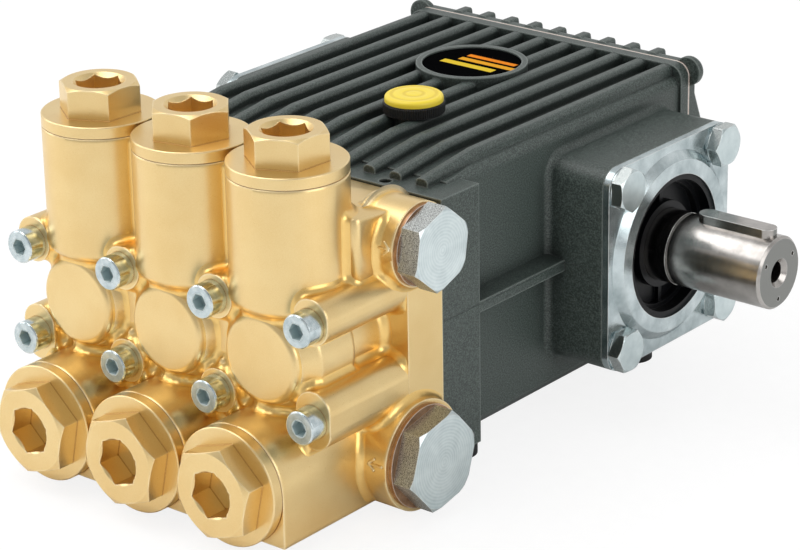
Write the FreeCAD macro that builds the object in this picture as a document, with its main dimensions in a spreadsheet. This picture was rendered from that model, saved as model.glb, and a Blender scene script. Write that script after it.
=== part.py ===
import FreeCAD, Part
import math
import os
import re
import Sketcher

# High-pressure plunger pump: a brass manifold bolted to a painted aluminium crankcase.
# Frame: +X along the drive shaft to its free end, +Y from the manifold to the rear cover, +Z up.
# The origin is on the floor, in the middle of the four feet. All lengths are in mm.

doc = FreeCAD.newDocument("PlungerPump")

# Driving sizes. Each one is a cell of the sheet under the same name.

SIZES = {
    # the whole pump
    "joint_to_feet_middle": 92.0,
    "foot_height": 9.8,
    "shaft_height": 60.6,
    "shaft_from_joint": 120.6,
    "plunger_pitch": 47.8,
    "fit_clearance": 0.05,
    "screw_clearance": 0.1,
    # manifold, measured from the joint face and from the height of the plungers
    "screw_edge_margin": 8.3,
    "plate_depth": 20.8,
    "plate_top_rise": 49.4,
    "plate_corner_radius": 6.0,
    "manifold_bottom_drop": 64.9,
    "gallery_side_margin": 18.2,
    "gallery_reach": 33.0,
    "gallery_corner_radius": 4.0,
    "outlet_radius": 23.1,
    "outlet_axis_reach": 49.7,
    "outlet_seam_rise": 69.4,
    "outlet_bottom_rise": 18.4,
    "cap_gap": 0.3,
    "inlet_axis_drop": 44.4,
    "inlet_seam_reach": 84.7,
    "web_side_margin": 14.2,
    "web_reach": 62.0,
    "web_half_height": 24.0,
    "bead_radius": 2.4,
    "bead_drop": 9.0,
    "barrel_radius": 23.0,
    "barrel_reach": 41.0,
    "barrel_front": 59.5,
    "neck_radius": 20.9,
    "neck_root_radius": 4.0,
    "shoulder_front": 66.0,
    "shoulder_radius": 18.6,
    "button_radius": 18.0,
    "button_reach": 68.9,
    "button_edge_radius": 2.6,
    "arm_radius": 8.2,
    "upper_arm_hump": 2.0,
    "lower_arm_rise": 3.6,
    "lower_arm_drop": 3.2,
    "chimney_foot_radius": 4.0,
    "screw_seat_reach": 66.8,
    "screw_rise": 19.25,
    "inner_boss_radius": 8.8,
    # ports and their plugs
    "outlet_port_reach": 17.0,
    "outlet_port_rise": 38.4,
    "outlet_port_radius": 16.6,
    "outlet_port_stand": 3.5,
    "outlet_port_bore": 9.5,
    "inlet_port_reach": 18.6,
    "inlet_port_drop": 47.1,
    "inlet_port_radius": 22.3,
    "inlet_port_stand": 4.3,
    "inlet_port_bore": 12.25,
    "port_depth": 16.0,
    "port_root": 2.5,
    "plug_washer_thickness": 1.7,
    "outlet_washer_radius": 15.8,
    "inlet_washer_radius": 20.6,
    "outlet_plug_flats": 29.0,
    "inlet_plug_flats": 35.0,
    "plug_corner_margin": 0.9,
    "plug_head_height": 9.0,
    # valve caps
    "cap_flange_thickness": 4.8,
    "cap_seam_chamfer": 0.35,
    "outlet_cap_flats": 28.4,
    "outlet_cap_hexagon_height": 11.7,
    "outlet_cap_socket_flats": 16.8,
    "outlet_cap_socket_depth": 10.0,
    "outlet_cap_mouth_radius": 10.3,
    "inlet_cap_flats": 33.4,
    "inlet_cap_hexagon_height": 8.7,
    "inlet_cap_socket_flats": 17.6,
    "inlet_cap_socket_depth": 10.0,
    "inlet_cap_mouth_radius": 9.6,
    "cap_spigot_radius": 17.0,
    "cap_spigot_length": 12.0,
    "cap_bore_depth": 14.0,
    # socket head screws
    "screw_radius": 4.0,
    "screw_head_radius": 6.65,
    "screw_head_height": 8.0,
    "screw_socket_flats": 6.0,
    "screw_socket_depth": 4.5,
    "screw_grip_depth": 15.0,
    # crankcase, measured from the joint face and from its underside
    "flange_depth": 23.2,
    "flange_bottom": 2.7,
    "flange_top_rise": 50.1,
    "body_half_width": 71.4,
    "body_bottom_chamfer": 7.0,
    "shoulder_radius_top": 4.5,
    "panel_front": 15.0,
    "panel_step": 0.7,
    "panel_bend": 34.0,
    "panel_rise": 2.5,
    "rear_joint": 175.5,
    "rear_band_depth": 5.3,
    "rear_half_width": 72.6,
    "rear_band_rise": 4.7,
    "rear_bottom": 5.0,
    "rear_corner_radius": 6.0,
    "rib_count": 11,
    "rib_pitch": 12.96,
    "rib_width": 5.8,
    "rib_height": 4.5,
    "rib_bend": 38.2,
    "rib_foot": 7.2,
    "rib_foot_rise": 3.2,
    "rib_rear": 171.0,
    "rib_rounding": 2.1,
    "flange_hole_offset": 49.5,
    "flange_hole_from_joint": 4.2,
    "flange_hole_radius": 2.5,
    "flange_hole_depth": 10.0,
    "ledge_low": 57.4,
    "ledge_edge": 62.0,
    "ledge_root": 63.6,
    "ledge_rear": 80.0,
    "label_from_joint": 121.4,
    "label_ring_radius": 23.5,
    "label_radius": 20.8,
    "label_ring_rise": 6.0,
    "label_recess": 1.6,
    "label_thickness": 0.8,
    "filler_from_joint": 59.0,
    "filler_boss_radius": 9.0,
    "filler_boss_rise": 4.8,
    "filler_bore": 6.0,
    "filler_bore_depth": 14.0,
    "foot_from_middle": 61.0,
    "foot_half_spacing": 61.5,
    "foot_radius": 8.5,
    "foot_bore": 4.5,
    "foot_bore_depth": 18.0,
    "foot_drill_radius": 4.25,
    "foot_drill_depth": 21.0,
    "foot_boss_radius": 9.0,
    # bearing boxes and covers
    "box_face": 98.5,
    "box_front": 78.4,
    "box_rear": 162.9,
    "box_bottom": 17.0,
    "box_top": 103.3,
    "box_corner_radius": 8.0,
    "box_root_radius": 3.0,
    "cover_thickness": 3.0,
    "cover_ring_outer": 39.4,
    "cover_ring_inner": 36.0,
    "cover_ring_height": 3.0,
    "seal_bore": 30.0,
    "seal_depth": 16.0,
    "seal_web": 2.2,
    "bearing_bore_depth": 20.0,
    "bolt_half_spacing_y": 33.8,
    "bolt_half_spacing_z": 34.2,
    "bolt_radius": 5.0,
    "bolt_flats": 16.0,
    "bolt_head_height": 5.2,
    "bolt_length": 22.0,
    "bolt_washer_radius": 8.3,
    "bolt_washer_thickness": 0.8,
    # crankshaft and key
    "shaft_radius": 15.0,
    "shaft_end": 154.1,
    "shaft_root": 66.0,
    "shaft_groove": 109.6,
    "shaft_groove_width": 1.6,
    "shaft_groove_depth": 0.8,
    "shaft_end_chamfer": 1.0,
    "centre_hole_radius": 4.2,
    "centre_hole_depth": 22.0,
    "centre_hole_chamfer": 1.8,
    "dimple_circle": 11.0,
    "dimple_radius": 0.9,
    "dimple_depth": 1.2,
    "dimple_turn": 150.0,
    "key_width": 8.0,
    "key_height": 7.0,
    "key_seat_depth": 4.0,
    "key_start": 116.5,
    "key_end_margin": 2.2,
    # rear gasket and cover
    "gasket_thickness": 0.8,
    "rear_cover_depth": 12.0,
    "cover_flange_depth": 4.0,
    "cover_belly_drop": 14.0,
    "cover_belly_slope": 20.0,
    "cover_fin_count": 9,
    "cover_fin_rise": 0.6,
    "cover_fin_top_depth": 5.0,
    "cover_boss_radius": 6.2,
    "cover_boss_inset": 1.2,
    "cover_boss_drop": 3.8,
    "cover_boss_length": 5.0,
    "cover_rib_width": 6.4,
    "cover_rib_reach": 4.0,
    "cover_screw_inset": 10.6,
    "cover_screw_drop": 9.0,
    "cover_screw_radius": 2.5,
    "cover_screw_head_radius": 4.25,
    "cover_screw_head_height": 5.0,
    "cover_screw_length": 20.0,
    # oil filler
    "skirt_radius": 12.2,
    "skirt_height": 4.6,
    "yellow_cap_radius": 11.9,
    "yellow_cap_height": 2.8,
}

sheet = doc.addObject("Spreadsheet::Sheet", "Sizes")
for row, (word, value) in enumerate(SIZES.items(), start=1):
    sheet.set("A%d" % row, word.replace("_", " "))
    sheet.set("B%d" % row, str(value))
    sheet.setAlias("B%d" % row, word)
doc.recompute()

# Sizes that follow from the driving ones

DERIVED = {
    "joint_half_width": "1.5 * plunger_pitch + screw_edge_margin",
    "gallery_half_width": "plunger_pitch + gallery_side_margin",
    "web_half_width": "plunger_pitch + web_side_margin",
    "outlet_port_face": "joint_half_width + outlet_port_stand",
    "inlet_port_face": "joint_half_width + inlet_port_stand",
    "inlet_radius": "(plunger_pitch - cap_gap) / 2",
    "inlet_block_half_width": "plunger_pitch + inlet_radius",
    "flange_top": "shaft_height + flange_top_rise",
    "panel_height": "flange_top + panel_rise",
    "rib_top": "panel_height + rib_height",
    "rear_top": "panel_height + rear_band_rise",
    "label_ring_top": "panel_height + label_ring_rise",
    "filler_boss_top": "panel_height + filler_boss_rise",
    "filler_offset": "1.5 * rib_pitch",
}

UP = FreeCAD.Vector(0, 0, 1)
RIGHT = FreeCAD.Vector(1, 0, 0)
LEFT = FreeCAD.Vector(-1, 0, 0)
FRONT = FreeCAD.Vector(0, -1, 0)
BACK = FreeCAD.Vector(0, 1, 0)
SIDES = (-1, 1)


# Helpers

def formula(text):
    """Turns the names of sizes in a text into cells of the sheet."""
    def cell(found):
        word = found.group(0)
        if word in DERIVED:
            return "(" + formula(DERIVED[word]) + ")"
        return "Sizes." + word if word in SIZES else word
    return re.sub(r"[a-z_]+", cell, str(text))


def size(text):
    """The value of a size, or of a formula of sizes, in mm."""
    return float(sheet.evalExpression(formula(text)))


def bind(thing, prop, text):
    thing.setExpression(prop, formula(text))


def place(thing, at, axis=UP, turn=0):
    """Stands a primitive at a point, its own Z axis turned to the one given."""
    spin = FreeCAD.Rotation(UP, turn)
    thing.Placement = FreeCAD.Placement(FreeCAD.Vector(), FreeCAD.Rotation(UP, axis) * spin)
    for letter, text in zip("xyz", at):
        bind(thing, "Placement.Base." + letter, text)
    return thing


def cylinder(name, radius, height, at, axis=UP):
    solid = doc.addObject("Part::Cylinder", name)
    bind(solid, "Radius", radius)
    bind(solid, "Height", height)
    return place(solid, at, axis)


def cone(name, radius, far_radius, height, at, axis=UP):
    solid = doc.addObject("Part::Cone", name)
    bind(solid, "Radius1", radius)
    bind(solid, "Radius2", far_radius)
    bind(solid, "Height", height)
    return place(solid, at, axis)


def box(name, low, high):
    """A box between two corners."""
    solid = doc.addObject("Part::Box", name)
    for side, start, end in zip(("Length", "Width", "Height"), low, high):
        bind(solid, side, "(%s) - (%s)" % (end, start))
    return place(solid, low)


def hexagon(name, flats, height, at, axis=UP, turn=0):
    """A hexagonal prism, sized across its flats."""
    solid = doc.addObject("Part::Prism", name)
    solid.Polygon = 6
    bind(solid, "Circumradius", "(%s) / sqrt(3)" % flats)
    bind(solid, "Height", height)
    return place(solid, at, axis, turn)


def fuse(name, parts):
    whole = doc.addObject("Part::MultiFuse", name)
    whole.Shapes = parts
    whole.Refine = True
    return whole


def cut(name, base, tools):
    tool = tools[0] if len(tools) == 1 else fuse(name + "_tools", tools)
    result = doc.addObject("Part::Cut", name)
    result.Base = base
    result.Tool = tool
    result.Refine = True
    return result


def common(name, first, second):
    result = doc.addObject("Part::Common", name)
    result.Base = first
    result.Tool = second
    return result


def softened(kind, name, base, amount, wanted):
    """Rounds or chamfers the edges of base that the test picks."""
    doc.recompute()
    result = doc.addObject("Part::" + kind, name)
    result.Base = base
    picked = [n for n, edge in enumerate(base.Shape.Edges, start=1) if wanted(edge)]
    if not picked:
        raise ValueError("no edge of %s was picked" % name)
    result.Edges = [(n, amount, amount) for n in picked]
    return result


def near(value, goal, slack=0.01):
    return abs(value - goal) < slack


def is_circle(edge, radius, axis_letter, level):
    """Whether an edge is a circle of this radius, in the plane at this level."""
    curve = None if edge.Degenerated else edge.Curve
    if not isinstance(curve, Part.Circle):
        return False
    centre = getattr(curve.Center, axis_letter)
    return near(curve.Radius, radius) and near(centre, level)


def plane_of(body, role):
    return [f for f in body.Origin.OriginFeatures if f.Role == role][0]


def polygon(body, name, role, corners, offset=0):
    """A closed outline on an origin plane, each corner held by two bound distances."""
    sketch = body.newObject("Sketcher::SketchObject", name)
    sketch.AttachmentSupport = [(plane_of(body, role), "")]
    sketch.MapMode = "FlatFace"
    bind(sketch, "AttachmentOffset.Base.z", offset)
    count = len(corners)
    for index in range(count):
        turn = 2 * math.pi * index / count
        start = FreeCAD.Vector(10 * math.cos(turn), 10 * math.sin(turn), 0)
        turn = 2 * math.pi * (index + 1) / count
        end = FreeCAD.Vector(10 * math.cos(turn), 10 * math.sin(turn), 0)
        sketch.addGeometry(Part.LineSegment(start, end), False)
    for index in range(count):
        after = (index + 1) % count
        sketch.addConstraint(Sketcher.Constraint("Coincident", index, 2, after, 1))
    for index, corner in enumerate(corners):
        for kind, text in zip(("DistanceX", "DistanceY"), corner):
            number = sketch.addConstraint(Sketcher.Constraint(kind, -1, 1, index, 1, 1.0))
            bind(sketch, "Constraints[%d]" % number, text)
    return sketch


def pad(body, name, sketch, length, backwards=False):
    feature = body.newObject("PartDesign::Pad", name)
    feature.Profile = sketch
    feature.Reversed = backwards
    bind(feature, "Length", length)
    sketch.Visibility = False
    return feature


def pocket(body, name, sketch, length, backwards=False):
    feature = body.newObject("PartDesign::Pocket", name)
    feature.Profile = sketch
    feature.Reversed = backwards
    bind(feature, "Length", length)
    sketch.Visibility = False
    return feature


def revolution(body, name, sketch, axis):
    """A full turn of a sketch about its own H_Axis or V_Axis."""
    feature = body.newObject("PartDesign::Revolution", name)
    feature.Profile = sketch
    feature.ReferenceAxis = (sketch, [axis])
    feature.Angle = 360.0
    sketch.Visibility = False
    return feature


def rounded(body, name, radius, wanted):
    """A fillet on the edges of the body's tip that the test picks."""
    doc.recompute()
    tip = body.Tip
    picked = ["Edge%d" % n for n, edge in enumerate(tip.Shape.Edges, start=1) if wanted(edge)]
    if not picked:
        raise ValueError("no edge of %s was picked" % name)
    feature = body.newObject("PartDesign::Fillet", name)
    feature.Base = (tip, picked)
    bind(feature, "Radius", radius)
    return feature


# The three frames that sub-parts are built in: each one's place on the finished pump

MANIFOLD_PLACE = ("0", "-joint_to_feet_middle", "foot_height + shaft_height")
CRANKCASE_PLACE = ("0", "-joint_to_feet_middle", "foot_height")
SHAFT_PLACE = ("0", "shaft_from_joint - joint_to_feet_middle", "foot_height + shaft_height")
NODES = []


def finish(name, thing, frame):
    """Labels a sub-part with its node's name and puts it in its place."""
    thing.Label = name
    for letter, text in zip("xyz", frame):
        bind(thing, "Placement.Base." + letter, text)
    NODES.append((name, thing))


# Manifold

COLUMNS = ("-plunger_pitch", "0", "plunger_pitch")
SCREW_COLUMNS = ("-1.5 * plunger_pitch", "-0.5 * plunger_pitch",
                 "0.5 * plunger_pitch", "1.5 * plunger_pitch")
SCREW_ROWS = ("screw_rise", "-screw_rise")


def screw_holes(name, start, depth, base_height):
    """The eight holes of the head screws, from one level of Y over a depth."""
    holes = []
    for column, x in enumerate(SCREW_COLUMNS):
        for row, z in enumerate(SCREW_ROWS):
            at = (x, start, "%s + %s" % (base_height, z))
            title = "%s_%d_%d" % (name, row, column)
            holes.append(cylinder(title, "screw_radius + screw_clearance", depth, at, BACK))
    return holes


def outlet_chimneys():
    """Three upright valve chimneys with a soft lower edge."""
    made = []
    for number, x in enumerate(COLUMNS, start=1):
        at = (x, "-outlet_axis_reach", "outlet_bottom_rise")
        straight = cylinder("straight_chimney_%d" % number, "outlet_radius",
                            "outlet_seam_rise - outlet_bottom_rise", at)
        made.append(softened("Fillet", "chimney_%d" % number, straight, size("chimney_foot_radius"),
                             lambda edge: is_circle(edge, size("outlet_radius"), "z",
                                                    size("outlet_bottom_rise"))))
    return made


def root_collar(name, radius, root, at, axis):
    """A ring with a hollow quarter-round profile, where a round boss meets a flat face."""
    disc = cylinder(name + "_disc", "%s + %s" % (radius, root), root, at, axis)
    hollow = doc.addObject("Part::Torus", name + "_hollow")
    bind(hollow, "Radius1", "%s + %s" % (radius, root))
    bind(hollow, "Radius2", root)
    far = tuple("%s + %d * %s" % (start, way, root) for start, way in zip(at, axis))
    return cut(name, disc, [place(hollow, far, axis)])


def plunger_barrels():
    """Three level barrels, each with a conical shoulder, a round button and a thinner neck behind."""
    made = []
    for number, x in enumerate(COLUMNS, start=1):
        made.append(cylinder("barrel_%d" % number, "barrel_radius", "barrel_front - barrel_reach",
                             (x, "-barrel_reach", "0"), FRONT))
        made.append(cone("shoulder_%d" % number, "barrel_radius", "shoulder_radius",
                         "shoulder_front - barrel_front", (x, "-barrel_front", "0"), FRONT))
        made.append(root_collar("neck_root_%d" % number, "neck_radius", "neck_root_radius",
                                (x, "-plate_depth", "0"), FRONT))
        made.append(cylinder("neck_%d" % number, "neck_radius", "barrel_reach - plate_depth / 2",
                             (x, "-plate_depth / 2", "0"), FRONT))
        made.append(cylinder("button_%d" % number, "button_radius", "button_reach - barrel_reach",
                             (x, "-barrel_reach", "0"), FRONT))
    return made


def inlet_gallery():
    """The lower block with three valve barrels lying in it, cut flat underneath."""
    block = box("gallery_block", ("-inlet_block_half_width", "-inlet_seam_reach", "-manifold_bottom_drop"),
                ("inlet_block_half_width", "-plate_depth / 2", "-inlet_axis_drop"))
    barrels = [cylinder("inlet_barrel_%d" % number, "inlet_radius", "inlet_seam_reach - plate_depth / 2",
                        (x, "-plate_depth / 2", "-inlet_axis_drop"), FRONT)
               for number, x in enumerate(COLUMNS, start=1)]
    below = box("below_manifold",
                ("-joint_half_width", "-inlet_seam_reach - 1", "-manifold_bottom_drop - 20"),
                ("joint_half_width", "0", "-manifold_bottom_drop"))
    return cut("inlet_gallery", fuse("inlet_gallery_rough", [block] + barrels), [below])


def outlet_gallery():
    """The upper block behind the chimneys, with its two upright front corners rounded."""
    block = box("outlet_block", ("-gallery_half_width", "-gallery_reach", "screw_rise"),
                ("gallery_half_width", "-plate_depth / 2", "plate_top_rise"))
    level = -size("gallery_reach")
    return softened("Fillet", "outlet_gallery", block, size("gallery_corner_radius"),
                    lambda edge: all(near(v.Point.y, level) for v in edge.Vertexes) and
                    near(edge.Vertexes[0].Point.x, edge.Vertexes[-1].Point.x))


def outer_arm(name, x, low, high):
    """The sleeve of an outer head screw: a bar with a round top and bottom, flat on its sides."""
    length = "screw_seat_reach - plate_depth / 2"
    start = "-plate_depth / 2"
    return [
        cylinder(name + "_low", "arm_radius", length, (x, start, low), FRONT),
        cylinder(name + "_high", "arm_radius", length, (x, start, high), FRONT),
        box(name + "_middle", ("%s - arm_radius" % x, "-screw_seat_reach", low),
            ("%s + arm_radius" % x, start, high)),
    ]


def screw_sleeves():
    """The sleeves of the eight head screws: round ones inside, taller arms on the two flanks."""
    made = []
    for column, x in enumerate(SCREW_COLUMNS):
        if column in (0, 3):
            made += outer_arm("upper_arm_%d" % column, x, "screw_rise", "screw_rise + upper_arm_hump")
            made += outer_arm("lower_arm_%d" % column, x, "-screw_rise - lower_arm_drop",
                              "-screw_rise + lower_arm_rise")
            continue
        for row, z in enumerate(SCREW_ROWS):
            made.append(cylinder("screw_boss_%d_%d" % (row, column), "inner_boss_radius",
                                 "screw_seat_reach - plate_depth / 2",
                                 (x, "-plate_depth / 2", z), FRONT))
    return made


def port(name, side, radius, face, reach, height, start):
    """A round port boss that grows out of one side of the manifold."""
    axis = RIGHT if side > 0 else LEFT
    return cylinder("%s_%d" % (name, side), radius, "%s - (%s)" % (face, start),
                    ("%d * (%s)" % (side, start), "-" + reach, height), axis)


def outlet_port_root(side):
    """The hollow ring where an outlet port boss meets the side wall of the upper block."""
    axis = RIGHT if side > 0 else LEFT
    return root_collar("outlet_port_root_%d" % side, "outlet_port_radius", "port_root",
                       ("%d * gallery_half_width" % side, "-outlet_port_reach", "outlet_port_rise"), axis)


def port_bore(name, side, radius, face, reach, height):
    axis = LEFT if side > 0 else RIGHT
    return cylinder("%s_%d" % (name, side), radius, "port_depth",
                    ("%d * %s" % (side, face), "-" + reach, height), axis)


def joint_plate():
    """The plate on the joint, with its two upper corners rounded."""
    block = box("plate_block", ("-joint_half_width", "-plate_depth", "-manifold_bottom_drop"),
                ("joint_half_width", "0", "plate_top_rise"))
    level = size("plate_top_rise")
    side = size("joint_half_width")
    return softened("Fillet", "plate", block, size("plate_corner_radius"),
                    lambda edge: all(near(v.Point.z, level) and near(abs(v.Point.x), side)
                                     for v in edge.Vertexes))


def groove_beads():
    """A small cast bead in each of the two grooves between the plunger barrels."""
    made = []
    for number, x in enumerate(("-plunger_pitch / 2", "plunger_pitch / 2")):
        bead = doc.addObject("Part::Sphere", "bead_%d" % number)
        bind(bead, "Radius", "bead_radius")
        made.append(place(bead, (x, "-web_reach", "-bead_drop")))
    return made


def build_manifold():
    solids = [
        joint_plate(),
        outlet_gallery(),
        box("web", ("-web_half_width", "-web_reach", "-inlet_axis_drop"),
            ("web_half_width", "-plate_depth / 2", "web_half_height")),
        inlet_gallery(),
    ]
    solids += outlet_chimneys()
    solids += plunger_barrels()
    solids += screw_sleeves()
    solids += groove_beads()
    bores = screw_holes("manifold_hole", "-screw_seat_reach - 1", "screw_seat_reach + 2", "0")
    for side in SIDES:
        solids.append(port("outlet_port", side, "outlet_port_radius", "outlet_port_face", "outlet_port_reach",
                           "outlet_port_rise", "gallery_half_width - gallery_corner_radius"))
        solids.append(outlet_port_root(side))
        solids.append(port("inlet_port", side, "inlet_port_radius", "inlet_port_face", "inlet_port_reach",
                           "-inlet_port_drop", "plunger_pitch"))
        bores.append(port_bore("outlet_bore", side, "outlet_port_bore", "outlet_port_face",
                               "outlet_port_reach", "outlet_port_rise"))
        bores.append(port_bore("inlet_bore", side, "inlet_port_bore", "inlet_port_face",
                               "inlet_port_reach", "-inlet_port_drop"))
    for number, x in enumerate(COLUMNS, start=1):
        bores.append(cylinder("chimney_bore_%d" % number, "cap_spigot_radius + fit_clearance",
                              "cap_bore_depth + 1",
                              (x, "-outlet_axis_reach", "outlet_seam_rise - cap_bore_depth")))
        bores.append(cylinder("inlet_cap_bore_%d" % number, "cap_spigot_radius + fit_clearance",
                              "cap_bore_depth + 1",
                              (x, "cap_bore_depth - inlet_seam_reach", "-inlet_axis_drop"), FRONT))
    rough = fuse("manifold_rough", solids)
    bores.append(box("behind_joint",
                     ("-outlet_port_face - inlet_port_stand", "0", "-manifold_bottom_drop - 1"),
                     ("outlet_port_face + inlet_port_stand", "inlet_port_radius", "plate_top_rise + 1")))
    level = -size("button_reach")
    buttons = softened("Fillet", "manifold_buttons", rough, size("button_edge_radius"),
                       lambda edge: is_circle(edge, size("button_radius"), "y", level))
    manifold = cut("manifold", buttons, bores)
    finish("manifold", manifold, MANIFOLD_PLACE)


# Valve caps, screws and plugs

def valve_cap(name, flange, flats, height, socket, depth, mouth, turn):
    """A cap standing on its seam at the origin: round flange, hexagon, socket and spigot."""
    disc = cylinder(name + "_disc", flange, "cap_flange_thickness", ("0", "0", "0"))
    doc.recompute()
    rim = softened("Chamfer", name + "_rim", disc, size("cap_seam_chamfer"),
                   lambda edge: is_circle(edge, size(flange), "z", 0) or
                   is_circle(edge, size(flange), "z", size("cap_flange_thickness")))
    prism = hexagon(name + "_prism", flats, height, ("0", "0", "cap_flange_thickness"), UP, turn)
    crown = cone(name + "_crown", "(%s) / 2 + %s * sqrt(3)" % (flats, height), "(%s) / 2 - 0.3" % flats,
                 "(%s) + 0.3 / sqrt(3)" % height, ("0", "0", "cap_flange_thickness"))
    head = common(name + "_head", prism, crown)
    spigot = cylinder(name + "_spigot", "cap_spigot_radius", "cap_spigot_length + 1",
                      ("0", "0", "-cap_spigot_length"))
    hole = hexagon(name + "_socket", socket, "(%s) + 1" % depth,
                   ("0", "0", "cap_flange_thickness + %s - %s" % (height, depth)), UP, turn)
    sink = cone(name + "_mouth", "(%s) / 2 - 0.2" % socket, mouth, "%s - (%s) / 2 + 0.2" % (mouth, socket),
                ("0", "0", "cap_flange_thickness + %s - %s + (%s) / 2 - 0.2" % (height, mouth, socket)))
    return cut(name, fuse(name + "_whole", [rim, head, spigot]), [hole, sink])


def build_valve_caps():
    outlet_turns = (26, 12, 26)
    inlet_turn = 18
    for number, x in enumerate(COLUMNS, start=1):
        name = "outlet_valve_cap_%d" % number
        cap = valve_cap(name, "outlet_radius", "outlet_cap_flats", "outlet_cap_hexagon_height",
                        "outlet_cap_socket_flats", "outlet_cap_socket_depth", "outlet_cap_mouth_radius",
                        outlet_turns[number - 1])
        finish(name, cap, (x, "-joint_to_feet_middle - outlet_axis_reach",
                           "foot_height + shaft_height + outlet_seam_rise"))
    for number, x in enumerate(COLUMNS, start=1):
        name = "inlet_valve_cap_%d" % number
        cap = valve_cap(name, "inlet_radius", "inlet_cap_flats", "inlet_cap_hexagon_height",
                        "inlet_cap_socket_flats", "inlet_cap_socket_depth", "inlet_cap_mouth_radius",
                        inlet_turn)
        cap.Placement = FreeCAD.Placement(FreeCAD.Vector(), FreeCAD.Rotation(RIGHT, 90))
        finish(name, cap, (x, "-joint_to_feet_middle - inlet_seam_reach",
                           "foot_height + shaft_height - inlet_axis_drop"))


def build_head_screws():
    """Socket head cap screws that clamp the manifold to the crankcase."""
    number = 0
    for z in SCREW_ROWS:
        for x in SCREW_COLUMNS:
            number += 1
            name = "head_screw_%d" % number
            head = cylinder(name + "_head", "screw_head_radius", "screw_head_height", ("0", "0", "0"), FRONT)
            shank = cylinder(name + "_shank", "screw_radius", "screw_seat_reach + screw_grip_depth - 1",
                             ("0", "0", "0"), BACK)
            socket = hexagon(name + "_socket", "screw_socket_flats", "screw_socket_depth + 1",
                             ("0", "screw_socket_depth - screw_head_height", "0"), FRONT)
            edge_level = -size("screw_head_height")
            soft = softened("Chamfer", name + "_soft", head, 0.5,
                            lambda edge: is_circle(edge, size("screw_head_radius"), "y", edge_level))
            screw = cut(name, fuse(name + "_whole", [soft, shank]), [socket])
            finish(name, screw, (x, "-joint_to_feet_middle - screw_seat_reach",
                                 "foot_height + shaft_height + %s" % z))


OUTLET_PLUG_TURN = 50
INLET_PLUG_TURN = 42


def build_port_plug(port_name, bore, washer_radius, flats, face, reach, height, turn):
    """A hexagon plug on a soft metal washer, both on the drive side of the manifold."""
    disc = cylinder(port_name + "_washer_disc", washer_radius, "plug_washer_thickness",
                    ("0", "0", "0"), RIGHT)
    opening = cylinder(port_name + "_washer_hole", "%s + fit_clearance" % bore, "plug_washer_thickness + 2",
                       ("-1", "0", "0"), RIGHT)
    place_of_face = (face, "-joint_to_feet_middle - %s" % reach, "foot_height + shaft_height + %s" % height)
    finish(port_name + "_plug_washer", cut(port_name + "_washer", disc, [opening]), place_of_face)
    prism = hexagon(port_name + "_prism", flats, "plug_head_height", ("0", "0", "0"), RIGHT, turn)
    face_radius = "(%s) / 2 + plug_corner_margin" % flats
    crown = cone(port_name + "_crown", "%s + plug_head_height * sqrt(3)" % face_radius,
                 face_radius, "plug_head_height", ("0", "0", "0"), RIGHT)
    spigot = cylinder(port_name + "_spigot", "%s - fit_clearance" % bore,
                      "plug_washer_thickness + port_depth - 1", ("1", "0", "0"), LEFT)
    head = common(port_name + "_head", prism, crown)
    plug = fuse(port_name + "_plug", [head, spigot])
    finish(port_name + "_plug", plug, ("%s + plug_washer_thickness" % face,) + place_of_face[1:])


# Crankcase

def lid_plate(name, start, depth, backwards):
    """A plate with the outline of the rear joint: square below, round upper corners."""
    body = doc.addObject("PartDesign::Body", name)
    outline = polygon(body, name + "_outline", "XZ_Plane", [
        ("rear_half_width", "rear_bottom"), ("rear_half_width", "rear_top"),
        ("-rear_half_width", "rear_top"), ("-rear_half_width", "rear_bottom")], start)
    pad(body, name + "_pad", outline, depth, backwards)
    level = size("rear_top")
    rounded(body, name + "_corners", "rear_corner_radius",
            lambda edge: runs_along(edge, "y") and near(edge.Vertexes[0].Point.z, level))
    return body


def runs_along(edge, letter):
    """Whether a straight edge is parallel to an axis."""
    return isinstance(edge.Curve, Part.Line) and near(abs(getattr(edge.Curve.Direction, letter)), 1, 1e-6)


def fin_row(name, corners, crest_length, width, count):
    """A row of like fins across the pump. The first corners of the outline are its rounded crest."""
    body = doc.addObject("PartDesign::Body", name)
    outline = polygon(body, name + "_outline", "YZ_Plane", corners,
                      "-(%s - 1) / 2 * rib_pitch - %s / 2" % (count, width))
    pad(body, name + "_first", outline, width)
    crest = [(size(y), size(z)) for y, z in corners[:crest_length]]

    def is_crest(edge):
        ends = [v.Point for v in edge.Vertexes]
        on_crest = all(any(near(p.y, y) and near(p.z, z) for y, z in crest) for p in ends)
        return on_crest and near(ends[0].x, ends[-1].x)

    rounded(body, name + "_rounding", "rib_rounding", is_crest)
    row = body.newObject("PartDesign::LinearPattern", name + "_row")
    row.TransformMode = "Whole shape"
    row.Direction = (plane_of(body, "X_Axis"), [""])
    bind(row, "Length", "(%s - 1) * rib_pitch" % count)
    bind(row, "Occurrences", count)
    body.Tip = row
    return body


def rib_bank():
    """The cooling ribs of the top panel. They stop at the ring of the label."""
    ribs = fin_row("ribs", [
        ("rib_foot", "flange_top + rib_foot_rise"), ("rib_bend", "rib_top"), ("rib_rear", "rib_top"),
        ("rib_rear", "panel_height - 2"), ("rib_foot", "flange_top - 1.5")], 3, "rib_width", "rib_count")
    gap = cylinder("ribs_off_label", "label_ring_radius - 1", "rib_top",
                   ("0", "label_from_joint", "panel_height"))
    return cut("rib_bank", ribs, [gap])


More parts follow.
